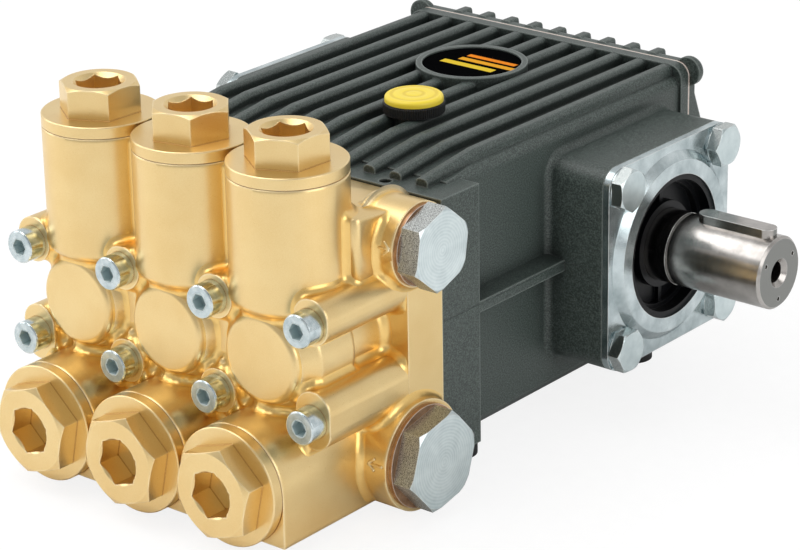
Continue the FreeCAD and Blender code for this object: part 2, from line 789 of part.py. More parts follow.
def case_body():
    """The main casting, with round upper edges and a top panel that slopes down to the flange."""
    body = doc.addObject("PartDesign::Body", "case_body")
    outline = polygon(body, "case_outline", "XZ_Plane", [
        ("body_half_width", "body_bottom_chamfer"), ("body_half_width", "panel_height"),
        ("-body_half_width", "panel_height"), ("-body_half_width", "body_bottom_chamfer"),
        ("body_bottom_chamfer - body_half_width", "0"), ("body_half_width - body_bottom_chamfer", "0")],
        "-panel_front")
    pad(body, "case_pad", outline, "rear_joint - panel_front", backwards=True)
    level = size("panel_height")
    rounded(body, "panel_edges", "shoulder_radius_top",
            lambda edge: runs_along(edge, "y") and near(edge.Vertexes[0].Point.z, level))
    steepness = "(panel_rise - panel_step) / (panel_bend - panel_front)"
    slope = polygon(body, "panel_slope", "YZ_Plane", [
        ("panel_front - 1", "flange_top + panel_step - %s" % steepness),
        ("panel_bend", "panel_height"), ("panel_bend", "panel_height + 1"),
        ("panel_front - 1", "panel_height + 1")], "-body_half_width - 1")
    pocket(body, "panel_front_slope", slope, "2 * body_half_width + 2", backwards=True)
    return body


def bearing_boxes():
    """The two square boxes that carry the shaft's bearings, with round corners along X."""
    body = doc.addObject("PartDesign::Body", "bearing_boxes")
    ends = polygon(body, "box_outline", "XZ_Plane", [
        ("box_face", "box_bottom"), ("box_face", "box_top"),
        ("-box_face", "box_top"), ("-box_face", "box_bottom")], "-box_rear")
    pad(body, "box_pad", ends, "box_rear - box_front")
    rounded(body, "box_corners", "box_corner_radius", lambda edge: runs_along(edge, "x"))
    return body


def is_box_root(edge):
    """Whether an edge lies where a bearing box leaves the side of the case."""
    for vertex in edge.Vertexes:
        point = vertex.Point
        beside = near(abs(point.x), size("body_half_width"))
        between = size("box_front") - 0.1 < point.y < size("box_rear") + 0.1
        if not (beside and between):
            return False
    return True


def side_ledges():
    """The shelf at the parting line, from the flange to the bearing box on both sides."""
    body = doc.addObject("PartDesign::Body", "side_ledges")
    outline = polygon(body, "ledge_outline", "XZ_Plane", [
        ("joint_half_width", "ledge_low"), ("joint_half_width", "ledge_edge"),
        ("body_half_width - 1", "ledge_root"), ("1 - body_half_width", "ledge_root"),
        ("-joint_half_width", "ledge_edge"), ("-joint_half_width", "ledge_low")])
    pad(body, "ledge_pad", outline, "ledge_rear", backwards=True)
    return body


def build_crankcase():
    case = fuse("case_with_boxes", [case_body(), bearing_boxes()])
    filleted = softened("Fillet", "box_roots", case, size("box_root_radius"), is_box_root)
    feet = [("%d * foot_half_spacing" % side, "joint_to_feet_middle + %d * foot_from_middle" % end)
            for side in SIDES for end in SIDES]
    solids = [
        filleted,
        box("flange", ("-joint_half_width", "0", "flange_bottom"),
            ("joint_half_width", "flange_depth", "flange_top")),
        side_ledges(),
        lid_plate("rear_band", "-rear_joint", "rear_band_depth", False),
        rib_bank(),
        cylinder("label_ring", "label_ring_radius", "label_ring_top - panel_height + 2",
                 ("0", "label_from_joint", "panel_height - 2")),
        cylinder("filler_boss", "filler_boss_radius", "filler_boss_top - panel_height + 2",
                 ("filler_offset", "filler_from_joint", "panel_height - 2")),
    ]
    for number, (x, y) in enumerate(feet):
        solids.append(cylinder("foot_boss_%d" % number, "foot_boss_radius", "body_bottom_chamfer + 3",
                               (x, y, "0")))
    tools = screw_holes("crankcase_hole", "-1", "screw_grip_depth + 1", "shaft_height")
    tools.append(cylinder("label_seat", "label_radius + screw_clearance", "label_recess + 1",
                          ("0", "label_from_joint", "label_ring_top - label_recess")))
    tools.append(cylinder("flange_hole", "flange_hole_radius", "flange_hole_depth + 1",
                          ("flange_hole_offset", "flange_hole_from_joint", "flange_top - flange_hole_depth")))
    tools.append(cylinder("filler_hole", "filler_bore + fit_clearance", "filler_bore_depth + 1",
                          ("filler_offset", "filler_from_joint", "filler_boss_top - filler_bore_depth")))
    for number, (x, y) in enumerate(feet):
        tools.append(cylinder("foot_hole_%d" % number, "foot_bore", "foot_bore_depth + 1", (x, y, "-1")))
        tools.append(cylinder("foot_drill_%d" % number, "foot_drill_radius", "foot_drill_depth", (x, y, "0")))
    tools.append(cylinder("seal_hole", "seal_bore", "bearing_bore_depth + 1",
                          ("box_face - bearing_bore_depth", "shaft_from_joint", "shaft_height"), RIGHT))
    tools.append(cylinder("shaft_hole", "shaft_radius + fit_clearance", "box_face - shaft_root + 2",
                          ("shaft_root - 1", "shaft_from_joint", "shaft_height"), RIGHT))
    tools += bolt_holes("crankcase")
    tools += cover_screw_holes("crankcase")
    crankcase = cut("crankcase", fuse("crankcase_whole", solids), tools)
    finish("crankcase", crankcase, CRANKCASE_PLACE)


def bolt_holes(name):
    """Blind holes for the bolts of both bearing covers."""
    made = []
    for side in SIDES:
        axis = LEFT if side > 0 else RIGHT
        for y in SIDES:
            for z in SIDES:
                at = ("%d * (box_face + 1)" % side,
                      "shaft_from_joint + %d * bolt_half_spacing_y" % y,
                      "shaft_height + %d * bolt_half_spacing_z" % z)
                made.append(cylinder("%s_bolt_hole_%d_%d_%d" % (name, side, y, z),
                                     "bolt_radius + screw_clearance", "bolt_length + 1", at, axis))
    return made


COVER_SCREWS = [("%d * (rear_half_width - cover_screw_inset)" % side, level)
                for level in ("rear_top - cover_screw_drop", "rear_bottom + cover_screw_drop")
                for side in SIDES]


def cover_screw_holes(name):
    """The holes of the cover screws, through the cover and blind in the case."""
    start = "rear_joint + gasket_thickness + cover_flange_depth - cover_screw_length - 1"
    return [cylinder("%s_cover_hole_%d" % (name, number), "cover_screw_radius + screw_clearance",
                     "cover_screw_length + 2", (x, start, z), BACK)
            for number, (x, z) in enumerate(COVER_SCREWS, start=1)]


# Rear gasket and cover

def cover_belly():
    """The hollowed rear of the cover, seen as a slope, a flat and a slope from the side."""
    body = doc.addObject("PartDesign::Body", "cover_belly")
    front = "rear_joint + gasket_thickness"
    seat = front + " + cover_flange_depth"
    back = front + " + rear_cover_depth"
    outline = polygon(body, "belly_outline", "YZ_Plane", [
        (front, "rear_bottom + cover_belly_drop"), (front, "rear_top - cover_belly_drop"),
        (seat, "rear_top - cover_belly_drop"), (back, "rear_top - cover_belly_drop - cover_belly_slope"),
        (back, "rear_bottom + cover_belly_drop + cover_belly_slope"),
        (seat, "rear_bottom + cover_belly_drop")], "-rear_half_width")
    pad(body, "belly_pad", outline, "2 * rear_half_width")
    return body


def cover_fins():
    """Upright cooling fins on the cover. Their round tops stand above the joint."""
    front = "rear_joint + gasket_thickness"
    top = front + " + cover_flange_depth + cover_fin_top_depth"
    back = front + " + rear_cover_depth + cover_rib_reach"
    return fin_row("cover_fins", [
        (front + " + 2", "rear_top + cover_fin_rise"), (top, "rear_top + cover_fin_rise"),
        (back, "rear_top - cover_belly_drop - cover_belly_slope"),
        (back, "rear_bottom + cover_belly_drop + cover_belly_slope"),
        (front + " + cover_flange_depth", "rear_bottom + 4"), (front + " + 2", "rear_bottom + 4")],
        4, "cover_rib_width", "cover_fin_count")


def cover_ears():
    """A short round ear on both upper corners of the cover."""
    made = []
    for number, side in enumerate(SIDES):
        ear = cylinder("straight_ear_%d" % number, "cover_boss_radius", "cover_boss_length",
                       ("%d * (rear_half_width - cover_boss_inset)" % side,
                        "rear_joint + gasket_thickness", "rear_top - cover_boss_drop"), BACK)
        level = size("rear_joint + gasket_thickness + cover_boss_length")
        made.append(softened("Fillet", "ear_%d" % number, ear, size("cover_boss_radius / 2"),
                             lambda edge: is_circle(edge, size("cover_boss_radius"), "y", level)))
    return made


def build_rear():
    gasket = lid_plate("gasket_sheet", "-rear_joint", "gasket_thickness", True)
    finish("rear_gasket", cut("rear_gasket", gasket, cover_screw_holes("gasket")), CRANKCASE_PLACE)
    flange = lid_plate("cover_flange", "-rear_joint - gasket_thickness", "cover_flange_depth", True)
    whole = fuse("rear_cover_whole", [flange, cover_belly(), cover_fins()] + cover_ears())
    finish("rear_cover", cut("rear_cover", whole, cover_screw_holes("cover")), CRANKCASE_PLACE)
    screws = []
    seat = "rear_joint + gasket_thickness + cover_flange_depth"
    for number, (x, z) in enumerate(COVER_SCREWS, start=1):
        head = cylinder("cover_screw_head_%d" % number, "cover_screw_head_radius", "cover_screw_head_height",
                        (x, seat, z), BACK)
        shank = cylinder("cover_screw_shank_%d" % number, "cover_screw_radius", "cover_screw_length",
                         (x, seat, z), FRONT)
        screws.append(fuse("cover_screw_%d" % number, [head, shank]))
    finish("rear_cover_screws", fuse("rear_cover_screws", screws), CRANKCASE_PLACE)


# Bearing covers, seal and shaft, all built about the shaft's axis

def cover_plate(name, side, open_bore):
    """A square plate with round corners; the drive one has a raised ring around its bore."""
    body = doc.addObject("PartDesign::Body", name + "_sheet")
    y_front = "box_front - shaft_from_joint"
    y_rear = "box_rear - shaft_from_joint"
    z_low = "box_bottom - shaft_height"
    z_high = "box_top - shaft_height"
    outline = polygon(body, name + "_outline", "YZ_Plane",
                      [(y_front, z_low), (y_rear, z_low), (y_rear, z_high), (y_front, z_high)],
                      "%d * box_face" % side)
    pad(body, name + "_pad", outline, "cover_thickness", backwards=side < 0)
    rounded(body, name + "_corners", "box_corner_radius",
            lambda edge: near(abs(edge.tangentAt(edge.FirstParameter).x), 1, 1e-6))
    doc.recompute()
    axis = RIGHT if side > 0 else LEFT
    face = "%d * (box_face + cover_thickness)" % side
    ring = cone(name + "_ring", "cover_ring_outer", "cover_ring_inner", "cover_ring_height",
                (face, "0", "0"), axis)
    whole = fuse(name + "_whole", [body, ring])
    tools = []
    if open_bore:
        tools.append(cylinder(name + "_bore", "seal_bore", "cover_thickness + cover_ring_height + 2",
                              ("box_face - 1", "0", "0"), RIGHT))
    for y in SIDES:
        for z in SIDES:
            tools.append(cylinder("%s_hole_%d_%d" % (name, y, z), "bolt_radius + screw_clearance",
                                  "cover_thickness + 2",
                                  ("%d * (box_face - 1)" % side, "%d * bolt_half_spacing_y" % y,
                                   "%d * bolt_half_spacing_z" % z), axis))
    finish(name, cut(name, whole, tools), SHAFT_PLACE)


def cover_bolts(name, side):
    """Four hexagon bolts and their washers on one bearing cover."""
    axis = RIGHT if side > 0 else LEFT
    back = LEFT if side > 0 else RIGHT
    bolts = []
    washers = []
    for y in SIDES:
        for z in SIDES:
            title = "%s_%d_%d" % (name, y, z)
            at = ("%d * (box_face + cover_thickness)" % side, "%d * bolt_half_spacing_y" % y,
                  "%d * bolt_half_spacing_z" % z)
            head_at = ("%d * (box_face + cover_thickness + bolt_washer_thickness)" % side,) + at[1:]
            disc = cylinder(title + "_disc", "bolt_washer_radius", "bolt_washer_thickness", at, axis)
            opening = cylinder(title + "_opening", "bolt_radius + screw_clearance",
                               "bolt_washer_thickness + 2",
                               ("%d * (box_face + cover_thickness - 1)" % side,) + at[1:], axis)
            washers.append(cut(title + "_washer", disc, [opening]))
            turn = 30 * (y + z) / 2
            prism = hexagon(title + "_prism", "bolt_flats", "bolt_head_height", head_at, axis, turn)
            crown = cone(title + "_crown", "bolt_flats / 2 + bolt_head_height * sqrt(3)",
                         "bolt_flats / 2 - 0.3", "bolt_head_height + 0.3 / sqrt(3)", head_at, axis)
            shank = cylinder(title + "_shank", "bolt_radius", "bolt_length", head_at, back)
            bolts.append(fuse(title + "_bolt", [common(title + "_head", prism, crown), shank]))
    finish(name + "_bolts", fuse(name + "_bolts", bolts), SHAFT_PLACE)
    finish(name + "_washers", fuse(name + "_washers", washers), SHAFT_PLACE)


def build_seal():
    """A black seal carrier, turned: outer ring, recessed web and lip ring around the shaft."""
    body = doc.addObject("PartDesign::Body", "seal_rings")
    outer = "seal_bore - fit_clearance"
    inner = "shaft_radius + fit_clearance"
    front = "box_face + cover_thickness + cover_ring_height - 1"
    back = "box_face + cover_thickness + cover_ring_height - seal_depth"
    profile = polygon(body, "seal_profile", "XZ_Plane", [
        (back, inner), ("(%s) - 4" % front, inner), ("(%s) - 4" % front, "shaft_radius + 3"),
        ("(%s) - 8" % front, "shaft_radius + 3"), ("(%s) - 8" % front, "seal_bore - 4.5"),
        ("(%s) - 5" % front, "seal_bore - 4.5"), ("(%s) - 5" % front, "seal_bore - 2.5"),
        (front, "seal_bore - 2.5"), (front, outer), (back, outer)])
    revolution(body, "seal_turned", profile, "H_Axis")
    doc.recompute()
    reach = "seal_bore - 4"
    floor = "(%s) - 9" % front
    top = "(%s) - 6.2" % front
    cross = fuse("seal_web_cross", [
        box("seal_web_upright", (floor, "-seal_web / 2", "-(%s)" % reach), (top, "seal_web / 2", reach)),
        box("seal_web_level", (floor, "-(%s)" % reach, "-seal_web / 2"), (top, reach, "seal_web / 2")),
    ])
    room = cylinder("seal_web_room", "shaft_radius + 2", "20", ("(%s) - 12" % front, "0", "0"), RIGHT)
    finish("shaft_seal", fuse("shaft_seal", [body, cut("seal_webs", cross, [room])]), SHAFT_PLACE)


DIMPLE_COUNT = 3


def build_crankshaft():
    body = doc.addObject("PartDesign::Body", "shaft_turned")
    groove_end = "shaft_groove + shaft_groove_width"
    profile = polygon(body, "shaft_profile", "XZ_Plane", [
        ("shaft_root", "0"), ("shaft_root", "shaft_radius"),
        ("shaft_groove", "shaft_radius"), ("shaft_groove", "shaft_radius - shaft_groove_depth"),
        (groove_end, "shaft_radius - shaft_groove_depth"), (groove_end, "shaft_radius"),
        ("shaft_end - shaft_end_chamfer", "shaft_radius"),
        ("shaft_end", "shaft_radius - shaft_end_chamfer"),
        ("shaft_end", "centre_hole_radius + centre_hole_chamfer"),
        ("shaft_end - centre_hole_chamfer", "centre_hole_radius"),
        ("shaft_end - centre_hole_depth", "centre_hole_radius"),
        ("shaft_end - centre_hole_depth", "0")])
    revolution(body, "shaft_revolved", profile, "H_Axis")
    doc.recompute()
    tools = [key_solid("key_seat", "screw_clearance / 2", "shaft_radius - key_seat_depth")]
    for number in range(DIMPLE_COUNT):
        turn = "(%d * 360 / %d + dimple_turn)" % (number, DIMPLE_COUNT)
        at = ("shaft_end - dimple_depth", "dimple_circle * cos(%s)" % turn, "dimple_circle * sin(%s)" % turn)
        tools.append(cylinder("dimple_%d" % number, "dimple_radius", "dimple_depth + 1", at, RIGHT))
    finish("crankshaft", cut("crankshaft", body, tools), SHAFT_PLACE)
    key = key_solid("key", "0", "shaft_radius - key_seat_depth + fit_clearance")
    finish("shaft_key", key, SHAFT_PLACE)


def key_solid(name, margin, bottom):
    """A flat key with round ends, lying along the top of the shaft."""
    half = "key_width / 2 + %s" % margin
    start = "key_start + key_width / 2"
    end = "shaft_end - key_end_margin - key_width / 2"
    bar = box(name + "_bar", (start, "-(%s)" % half, bottom), (end, half, "%s + key_height" % bottom))
    near_end = cylinder(name + "_near_end", half, "key_height", (start, "0", bottom))
    far_end = cylinder(name + "_far_end", half, "key_height", (end, "0", bottom))
    return fuse(name, [bar, near_end, far_end])


# Filler, label and feet

def build_filler():
    skirt = cylinder("skirt", "skirt_radius", "skirt_height", ("0", "0", "0"))
    stem = cylinder("stem", "filler_bore", "filler_bore_depth", ("0", "0", "1 - filler_bore_depth"))
    at = ("filler_offset", "filler_from_joint - joint_to_feet_middle", "foot_height + filler_boss_top")
    finish("oil_filler_plug", fuse("oil_filler_plug", [skirt, stem]), at)
    top = cylinder("yellow_top", "yellow_cap_radius", "yellow_cap_height", ("0", "0", "skirt_height"))
    level = size("skirt_height") + size("yellow_cap_height")
    dome = softened("Fillet", "oil_filler_cap", top, 1.6,
                    lambda edge: is_circle(edge, size("yellow_cap_radius"), "z", level))
    finish("oil_filler_cap", dome, at)


def build_label():
    label = cylinder("label", "label_radius", "label_thickness", ("0", "0", "0"))
    finish("label_disc", label, ("0", "label_from_joint - joint_to_feet_middle",
                                 "foot_height + label_ring_top - label_recess"))


def build_feet():
    made = []
    for side in SIDES:
        for end in SIDES:
            at = ("%d * foot_half_spacing" % side, "%d * foot_from_middle" % end, "0")
            pad_solid = cylinder("foot_pad_%d_%d" % (side, end), "foot_radius", "foot_height", at)
            hole = cylinder("foot_opening_%d_%d" % (side, end), "foot_bore", "foot_height + 2",
                            at[:2] + ("-1",))
            made.append(cut("foot_%d_%d" % (side, end), pad_solid, [hole]))
    finish("feet", fuse("feet", made), ("0", "0", "0"))


build_manifold()
build_valve_caps()
build_head_screws()
build_port_plug("outlet", "outlet_port_bore", "outlet_washer_radius", "outlet_plug_flats",
                "outlet_port_face", "outlet_port_reach", "outlet_port_rise", OUTLET_PLUG_TURN)
build_port_plug("inlet", "inlet_port_bore", "inlet_washer_radius", "inlet_plug_flats",
                "inlet_port_face", "inlet_port_reach", "-inlet_port_drop", INLET_PLUG_TURN)
build_crankcase()
build_rear()
cover_plate("drive_bearing_cover", 1, True)
cover_plate("closed_bearing_cover", -1, False)
cover_bolts("drive_cover", 1)
cover_bolts("closed_cover", -1)
build_seal()
build_crankshaft()
build_filler()
build_label()
build_feet()
doc.recompute()

for thing in doc.Objects:
    if "Invalid" in thing.State or "Error" in thing.State:
        raise ValueError("%s did not build" % thing.Name)

os.makedirs("parts", exist_ok=True)
for name, thing in NODES:
    if thing.Shape.isNull() or not thing.Shape.isValid():
        raise ValueError("%s has no valid shape" % name)
    thing.Shape.exportStep("parts/%s.step" % name)
    print("%-24s %4d solids %12.1f mm3" % (name, len(thing.Shape.Solids), thing.Shape.Volume))
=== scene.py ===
# %% [markdown]
# # A high-pressure plunger pump, dressed for a studio photograph
# The shape of the pump comes from a CAD model whose pieces keep their real sizes in metres.
# This lesson gives each piece the surface that its maker gave it: forged brass that was blasted and
# machined, aluminium that was cast and painted, steel that was ground, plated or left black.
# The frame has +X along the drive shaft, +Y from the brass head to the rear cover, and +Z up.

# %% Load the pump
import math

import bmesh
import bpy
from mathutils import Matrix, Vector
from mathutils.bvhtree import BVHTree


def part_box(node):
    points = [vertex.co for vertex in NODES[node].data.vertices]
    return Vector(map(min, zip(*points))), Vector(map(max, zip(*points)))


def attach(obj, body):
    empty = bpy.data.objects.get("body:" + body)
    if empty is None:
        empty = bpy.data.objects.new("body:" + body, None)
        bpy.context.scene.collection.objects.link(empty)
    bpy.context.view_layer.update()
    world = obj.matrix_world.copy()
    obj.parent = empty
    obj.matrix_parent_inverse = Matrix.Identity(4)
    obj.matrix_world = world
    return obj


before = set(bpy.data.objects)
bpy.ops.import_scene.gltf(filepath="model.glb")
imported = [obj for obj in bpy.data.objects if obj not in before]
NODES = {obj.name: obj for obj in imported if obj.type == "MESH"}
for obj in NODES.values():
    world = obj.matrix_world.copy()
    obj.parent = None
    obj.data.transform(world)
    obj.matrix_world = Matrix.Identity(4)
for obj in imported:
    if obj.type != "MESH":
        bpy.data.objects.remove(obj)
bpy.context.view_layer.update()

# %% [markdown]
# ## Real sizes
# Noise textures in Blender take a scale that counts how many blobs fit into one metre.
# We think in millimetres on the real pump, so one helper turns the size of a grain into that scale.

# %% Helpers for sizes and colours
MM = 0.001


def grains(size_mm):
    """The texture scale that gives blobs of about this size."""
    return 1.0 / (size_mm * MM)


def linear(hex_colour):
    """Turns an sRGB colour such as "C08040" into the linear light values that shaders expect."""
    parts = [int(hex_colour[i:i + 2], 16) / 255 for i in (0, 2, 4)]
    return [p / 12.92 if p <= 0.04045 else ((p + 0.055) / 1.055) ** 2.4 for p in parts] + [1.0]


print("a grain of 0.5 mm has scale", grains(0.5))

# %% [markdown]
# ## One helper for every shader node
# A material is a graph of nodes. On screen we would pick each node from a menu, set its options and
# drag links into its inputs. This one function does all three for any kind of node: plain values
# fill the inputs in the order that they have on screen, names with a capital letter pick an input by
# name, and names in small letters are options. Where it counts inputs or picks an output it skips
# the hidden ones, because many nodes hide some of theirs until an option asks for them.

# %% Node helper
def add(tree, kind, *values, **settings):
    """Adds a node and returns it. A node given as a value stands for its first output."""
    made = tree.nodes.new("ShaderNode" + kind)
    for name, option in settings.items():
        if name[0].islower():
            setattr(made, name, option)
    filled = list(zip([socket for socket in made.inputs if socket.enabled], values))
    filled += [(made.inputs[name.replace("_", " ")], value)
               for name, value in settings.items() if name[0].isupper()]
    for socket, value in filled:
        if isinstance(value, bpy.types.Node):
            value = next(output for output in value.outputs if output.enabled)
        if isinstance(value, bpy.types.NodeSocket):
            tree.links.new(value, socket)
        else:
            socket.default_value = value
    return made


print("node helper ready; the hex colour C08040 is", [round(part, 3) for part in linear("C08040")])

# %% [markdown]
# ## Patterns of a real size
# Every finish starts from the same few things: the coordinates of the pump's own frame, blobs of a
# real size, two colours spread over them, and a surface that is as deep as the real one and rounded
# at its edges. A Map Range node comes back again and again: after the value it takes the range that
# the value is in, and then the range that it should be in.

# %% Pattern helpers
def new_material(name):
    """An empty material, its graph, and the coordinates of the pump's own frame."""
    material = bpy.data.materials.new(name)
    material.use_nodes = True
    tree = material.node_tree
    tree.nodes.clear()
    return material, tree, add(tree, "TexCoord").outputs["Object"]


def mottling(tree, place, size_mm, detail=3.0, stretch=(1, 1, 1)):
    """Blobs of a real size, pulled out along an axis where stretch is below one."""
    moved = add(tree, "Mapping", place, Scale=stretch)
    return add(tree, "TexNoise", moved, Scale=grains(size_mm), Detail=detail, Roughness=0.6)


def two_tones(tree, pattern, dark, light, start=0.3, end=0.7):
    """Two hex colours, spread over a pattern between start and end."""
    share = add(tree, "MapRange", pattern, start, end, 0.0, 1.0)
    return add(tree, "Mix", share, linear(dark), linear(light), data_type="RGBA")


def relief(tree, height, depth_mm, soft_edge_mm):
    """The surface normal: a pattern of a real depth, on edges rounded over a real radius."""
    edge = add(tree, "Bevel", samples=6, Radius=soft_edge_mm * MM)
    return add(tree, "Bump", Height=height, Strength=1.0, Distance=depth_mm * MM, Normal=edge)


print("pattern helpers ready")

# %% [markdown]
# ## Finding edges inside a shader
# Along their outer edges the metals and the paint get a painted highlight, a paler colour that stands
# in for the light that an edge catches. Ambient occlusion that looks inward finds such edges: just
# under an outer edge a ray soon leaves the metal again. Looking outward it finds the opposite, the
# corners where two faces meet, which get painted shade.

# %% Edge helpers
def outer_edges(tree, width_mm):
    """1 along outer edges and 0 elsewhere."""
    inward = add(tree, "AmbientOcclusion", inside=True, only_local=True, samples=4, Distance=width_mm * MM)
    return add(tree, "MapRange", inward.outputs["AO"], 0.45, 0.9, 1.0, 0.0)


def inner_creases(tree, width_mm):
    """1 in the corner where two faces meet, 0 on open faces."""
    outward = add(tree, "AmbientOcclusion", samples=6, Distance=width_mm * MM)
    return add(tree, "MapRange", outward.outputs["AO"], 0.35, 0.80, 1.0, 0.0)


print("edge helpers ready")

# %% [markdown]
# ## Finding axes inside a shader
# Turned faces carry fine rings, so a shader needs the distance of a point from the axis of its piece,
# and has to know which faces look along that axis.

# %% Axis helpers
def from_axis(tree, place, centre, across):
    """The distance in metres from a line. across is 1 for each direction at right angles to the line."""
    offset = add(tree, "VectorMath", place, centre, operation="SUBTRACT")
    flat = add(tree, "VectorMath", offset, across, operation="MULTIPLY")
    return add(tree, "VectorMath", flat, operation="LENGTH")


def ripples(tree, distance, pitch_mm):
    """Rings of an even pitch, from 0 to 1 and back."""
    phase = add(tree, "Math", distance, 2 * math.pi / (pitch_mm * MM), operation="MULTIPLY")
    wave = add(tree, "Math", phase, operation="SINE")
    return add(tree, "MapRange", wave, -1.0, 1.0, 0.0, 1.0)


def facing(tree, axis):
    """1 on faces that look along the axis either way, 0 on faces that stand across it."""
    normal = add(tree, "NewGeometry").outputs["True Normal"]
    along = add(tree, "VectorMath", normal, axis, operation="DOT_PRODUCT")
    return add(tree, "Math", along, operation="ABSOLUTE")


print("axis helpers ready")

# %% [markdown]
# Where those axes are, and how far the screws of the head stand apart, follows from the boxes of the
# CAD pieces, so nothing here has to be typed in again when the model changes.

# %% Axes of the pieces
def centre_of(node_name):
    """The middle of a piece's box."""
    low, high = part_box(node_name)
    return [(a + b) / 2 for a, b in zip(low, high)]


SCREWS = [centre_of("head_screw_%d" % n) for n in range(1, 9)]
SCREW_COLUMNS = sorted({round(c[0], 5) for c in SCREWS})
SCREW_PITCH = SCREW_COLUMNS[1] - SCREW_COLUMNS[0]
SCREW_LEVELS = sorted({round(c[2], 5) for c in SCREWS})
print("head screws stand at x", [round(x / MM, 1) for x in SCREW_COLUMNS],
      "and z", [round(z / MM, 1) for z in SCREW_LEVELS], "mm")

# %% [markdown]
# ## Satin brass, forged and machined
# The head is forged, blasted to an even satin, then its flat faces are milled. A white studio seen
# in bare brass gives a pale honey colour. Where one brass face looks at another, the light has met
# the metal twice, so its colour is multiplied by itself and turns to deep amber. Cycles does most of
# that, and a darker amber is painted into the corners as painted shade. Along the outer edges a paler
# colour and a lower Metallic are painted on as a painted highlight. Milling leaves fine upright
# scratches, which are a noise pulled out along Z, and blasting leaves a grain. Both are finer on the
# real head than a pixel of this render, which shows about 0.4 mm of it, so they are drawn as wide as
# a pixel.
# A forging has soft corners and a milled face has crisp ones, so the radius of the Bevel node is
# small on faces that are square to the machine's axes and large on all the rest.

# %% Which faces of the head are milled
FORGED_CORNER_MM = 2.2
MILLED_CORNER_MM = 0.35
PLATE_MARGIN_MM = 8.3
PLATE_HALF_WIDTH = SCREW_COLUMNS[-1] + PLATE_MARGIN_MM * MM
SQUARE_FROM, SQUARE_TO = 0.990, 0.997


def milled(tree, place):
    """1 on faces that a cutter has been over: those square to Y or Z, and the outermost sides."""
    normal = add(tree, "NewGeometry").outputs["True Normal"]
    size = add(tree, "SeparateXYZ", add(tree, "VectorMath", normal, operation="ABSOLUTE")).outputs
    level = add(tree, "Math", size["Y"], size["Z"], operation="MAXIMUM")
    x = add(tree, "SeparateXYZ", place).outputs["X"]
    out = add(tree, "Math", x, operation="ABSOLUTE")
    outermost = add(tree, "MapRange", out, PLATE_HALF_WIDTH - 1.0 * MM, PLATE_HALF_WIDTH - 0.5 * MM, 0.0, 1.0)
    side = add(tree, "Math", size["X"], outermost, operation="MULTIPLY")
    squarest = add(tree, "Math", level, side, operation="MAXIMUM")
    return add(tree, "MapRange", squarest, SQUARE_FROM, SQUARE_TO, 0.0, 1.0)


print("forged corners look", FORGED_CORNER_MM, "mm round, milled ones", MILLED_CORNER_MM, "mm")

# %% [markdown]
# One function makes three brasses. The head is forged and milled, the valve caps are turned and
# have crisp corners, and the soft roots of the forging, which are added further down, get a richer
# gold as painted bounce light, standing in for the light that brass corners throw at each other,
# and no painted edge highlight.

# %% Brass
GRAIN_MM, CLOUD_MM, SCRATCH_MM = 0.4, 22.0, 0.45
BRASS_EDGE_HIGHLIGHT, BRASS_SHADE = "FFEDC2", "A86E28"
# The second pair is a richer gold, painted on the soft roots as bounce light from the brass faces around
# them.
CUT_TONES, ROOT_BOUNCE_TONES = ("E9CA8E", "F0D59C"), ("EEC678", "F4D088")


def satin_brass(name, forged_corner_mm, tones, brushing_mm=0.009, has_edges=True):
    material, tree, place = new_material(name)
    grain = mottling(tree, place, GRAIN_MM, 4.0)
    cloud = mottling(tree, place, CLOUD_MM, 2.0)
    scratches = mottling(tree, place, SCRATCH_MM, 2.0, (1, 1, 0.02))
    mottle = add(tree, "Math", cloud, grain, operation="ADD")
    body = two_tones(tree, mottle, *tones, 0.75, 1.25)
    # Painted shade: where two faces meet, the colour turns towards a dark amber.
    crease_shaded = add(tree, "Mix", inner_creases(tree, 0.9), body, linear(BRASS_SHADE), data_type="RGBA")
    # Painted highlight: along outer edges the colour turns pale and the Metallic drops.
    edges = outer_edges(tree, 0.8) if has_edges else 0.0
    colour = add(tree, "Mix", edges, crease_shaded, linear(BRASS_EDGE_HIGHLIGHT), data_type="RGBA")
    height = add(tree, "Math", grain, scratches, operation="ADD")
    radius = add(tree, "MapRange", milled(tree, place), 0.0, 1.0,
                 forged_corner_mm * MM, MILLED_CORNER_MM * MM)
    corner = add(tree, "Bevel", radius, samples=8)
    normal = add(tree, "Bump", Height=height, Strength=1.0, Distance=brushing_mm * MM, Normal=corner)
    surface = add(tree, "BsdfPrincipled", Base_Color=colour, Normal=normal,
                  Metallic=add(tree, "MapRange", edges, 0.0, 1.0, 1.0, 0.7),
                  Roughness=add(tree, "MapRange", grain, 0.3, 0.7, 0.27, 0.38))
    add(tree, "OutputMaterial", surface)
    return material


BRASS = satin_brass("satin_forged_brass", FORGED_CORNER_MM, CUT_TONES)
CAP_BRASS = satin_brass("satin_turned_brass", 0.4, CUT_TONES, 0.006)
ROOT_BRASS = satin_brass("satin_forged_brass_roots", 0.5, ROOT_BOUNCE_TONES, has_edges=False)
print("brasses:", BRASS.name, CAP_BRASS.name, ROOT_BRASS.name)

# %% [markdown]
# ## Painted cast aluminium
# The crankcase is a die casting under a thin green-grey paint. The paint follows the grain of the
# casting, so the surface is not smooth: dents of about half a millimetre catch the light as
# a fine sparkle. The grain also tints the colour, partly as a random tone and partly as a painted
# highlight that is paler on the crests of the dents, and outer edges get a paler painted highlight.
# Between the ribs hardly any light gets in, so the hollows get painted shade that is nearly black.
# The two halves of the die met at one height, which leaves a hair line around the sides.

# %% Paint
PARTING_RISE_MM = 61.0
PARTING_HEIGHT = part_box("feet")[1][2] + PARTING_RISE_MM * MM
PARTING_WIDTH_MM = 0.35
HOLLOW_SHADE_MM = 16.0


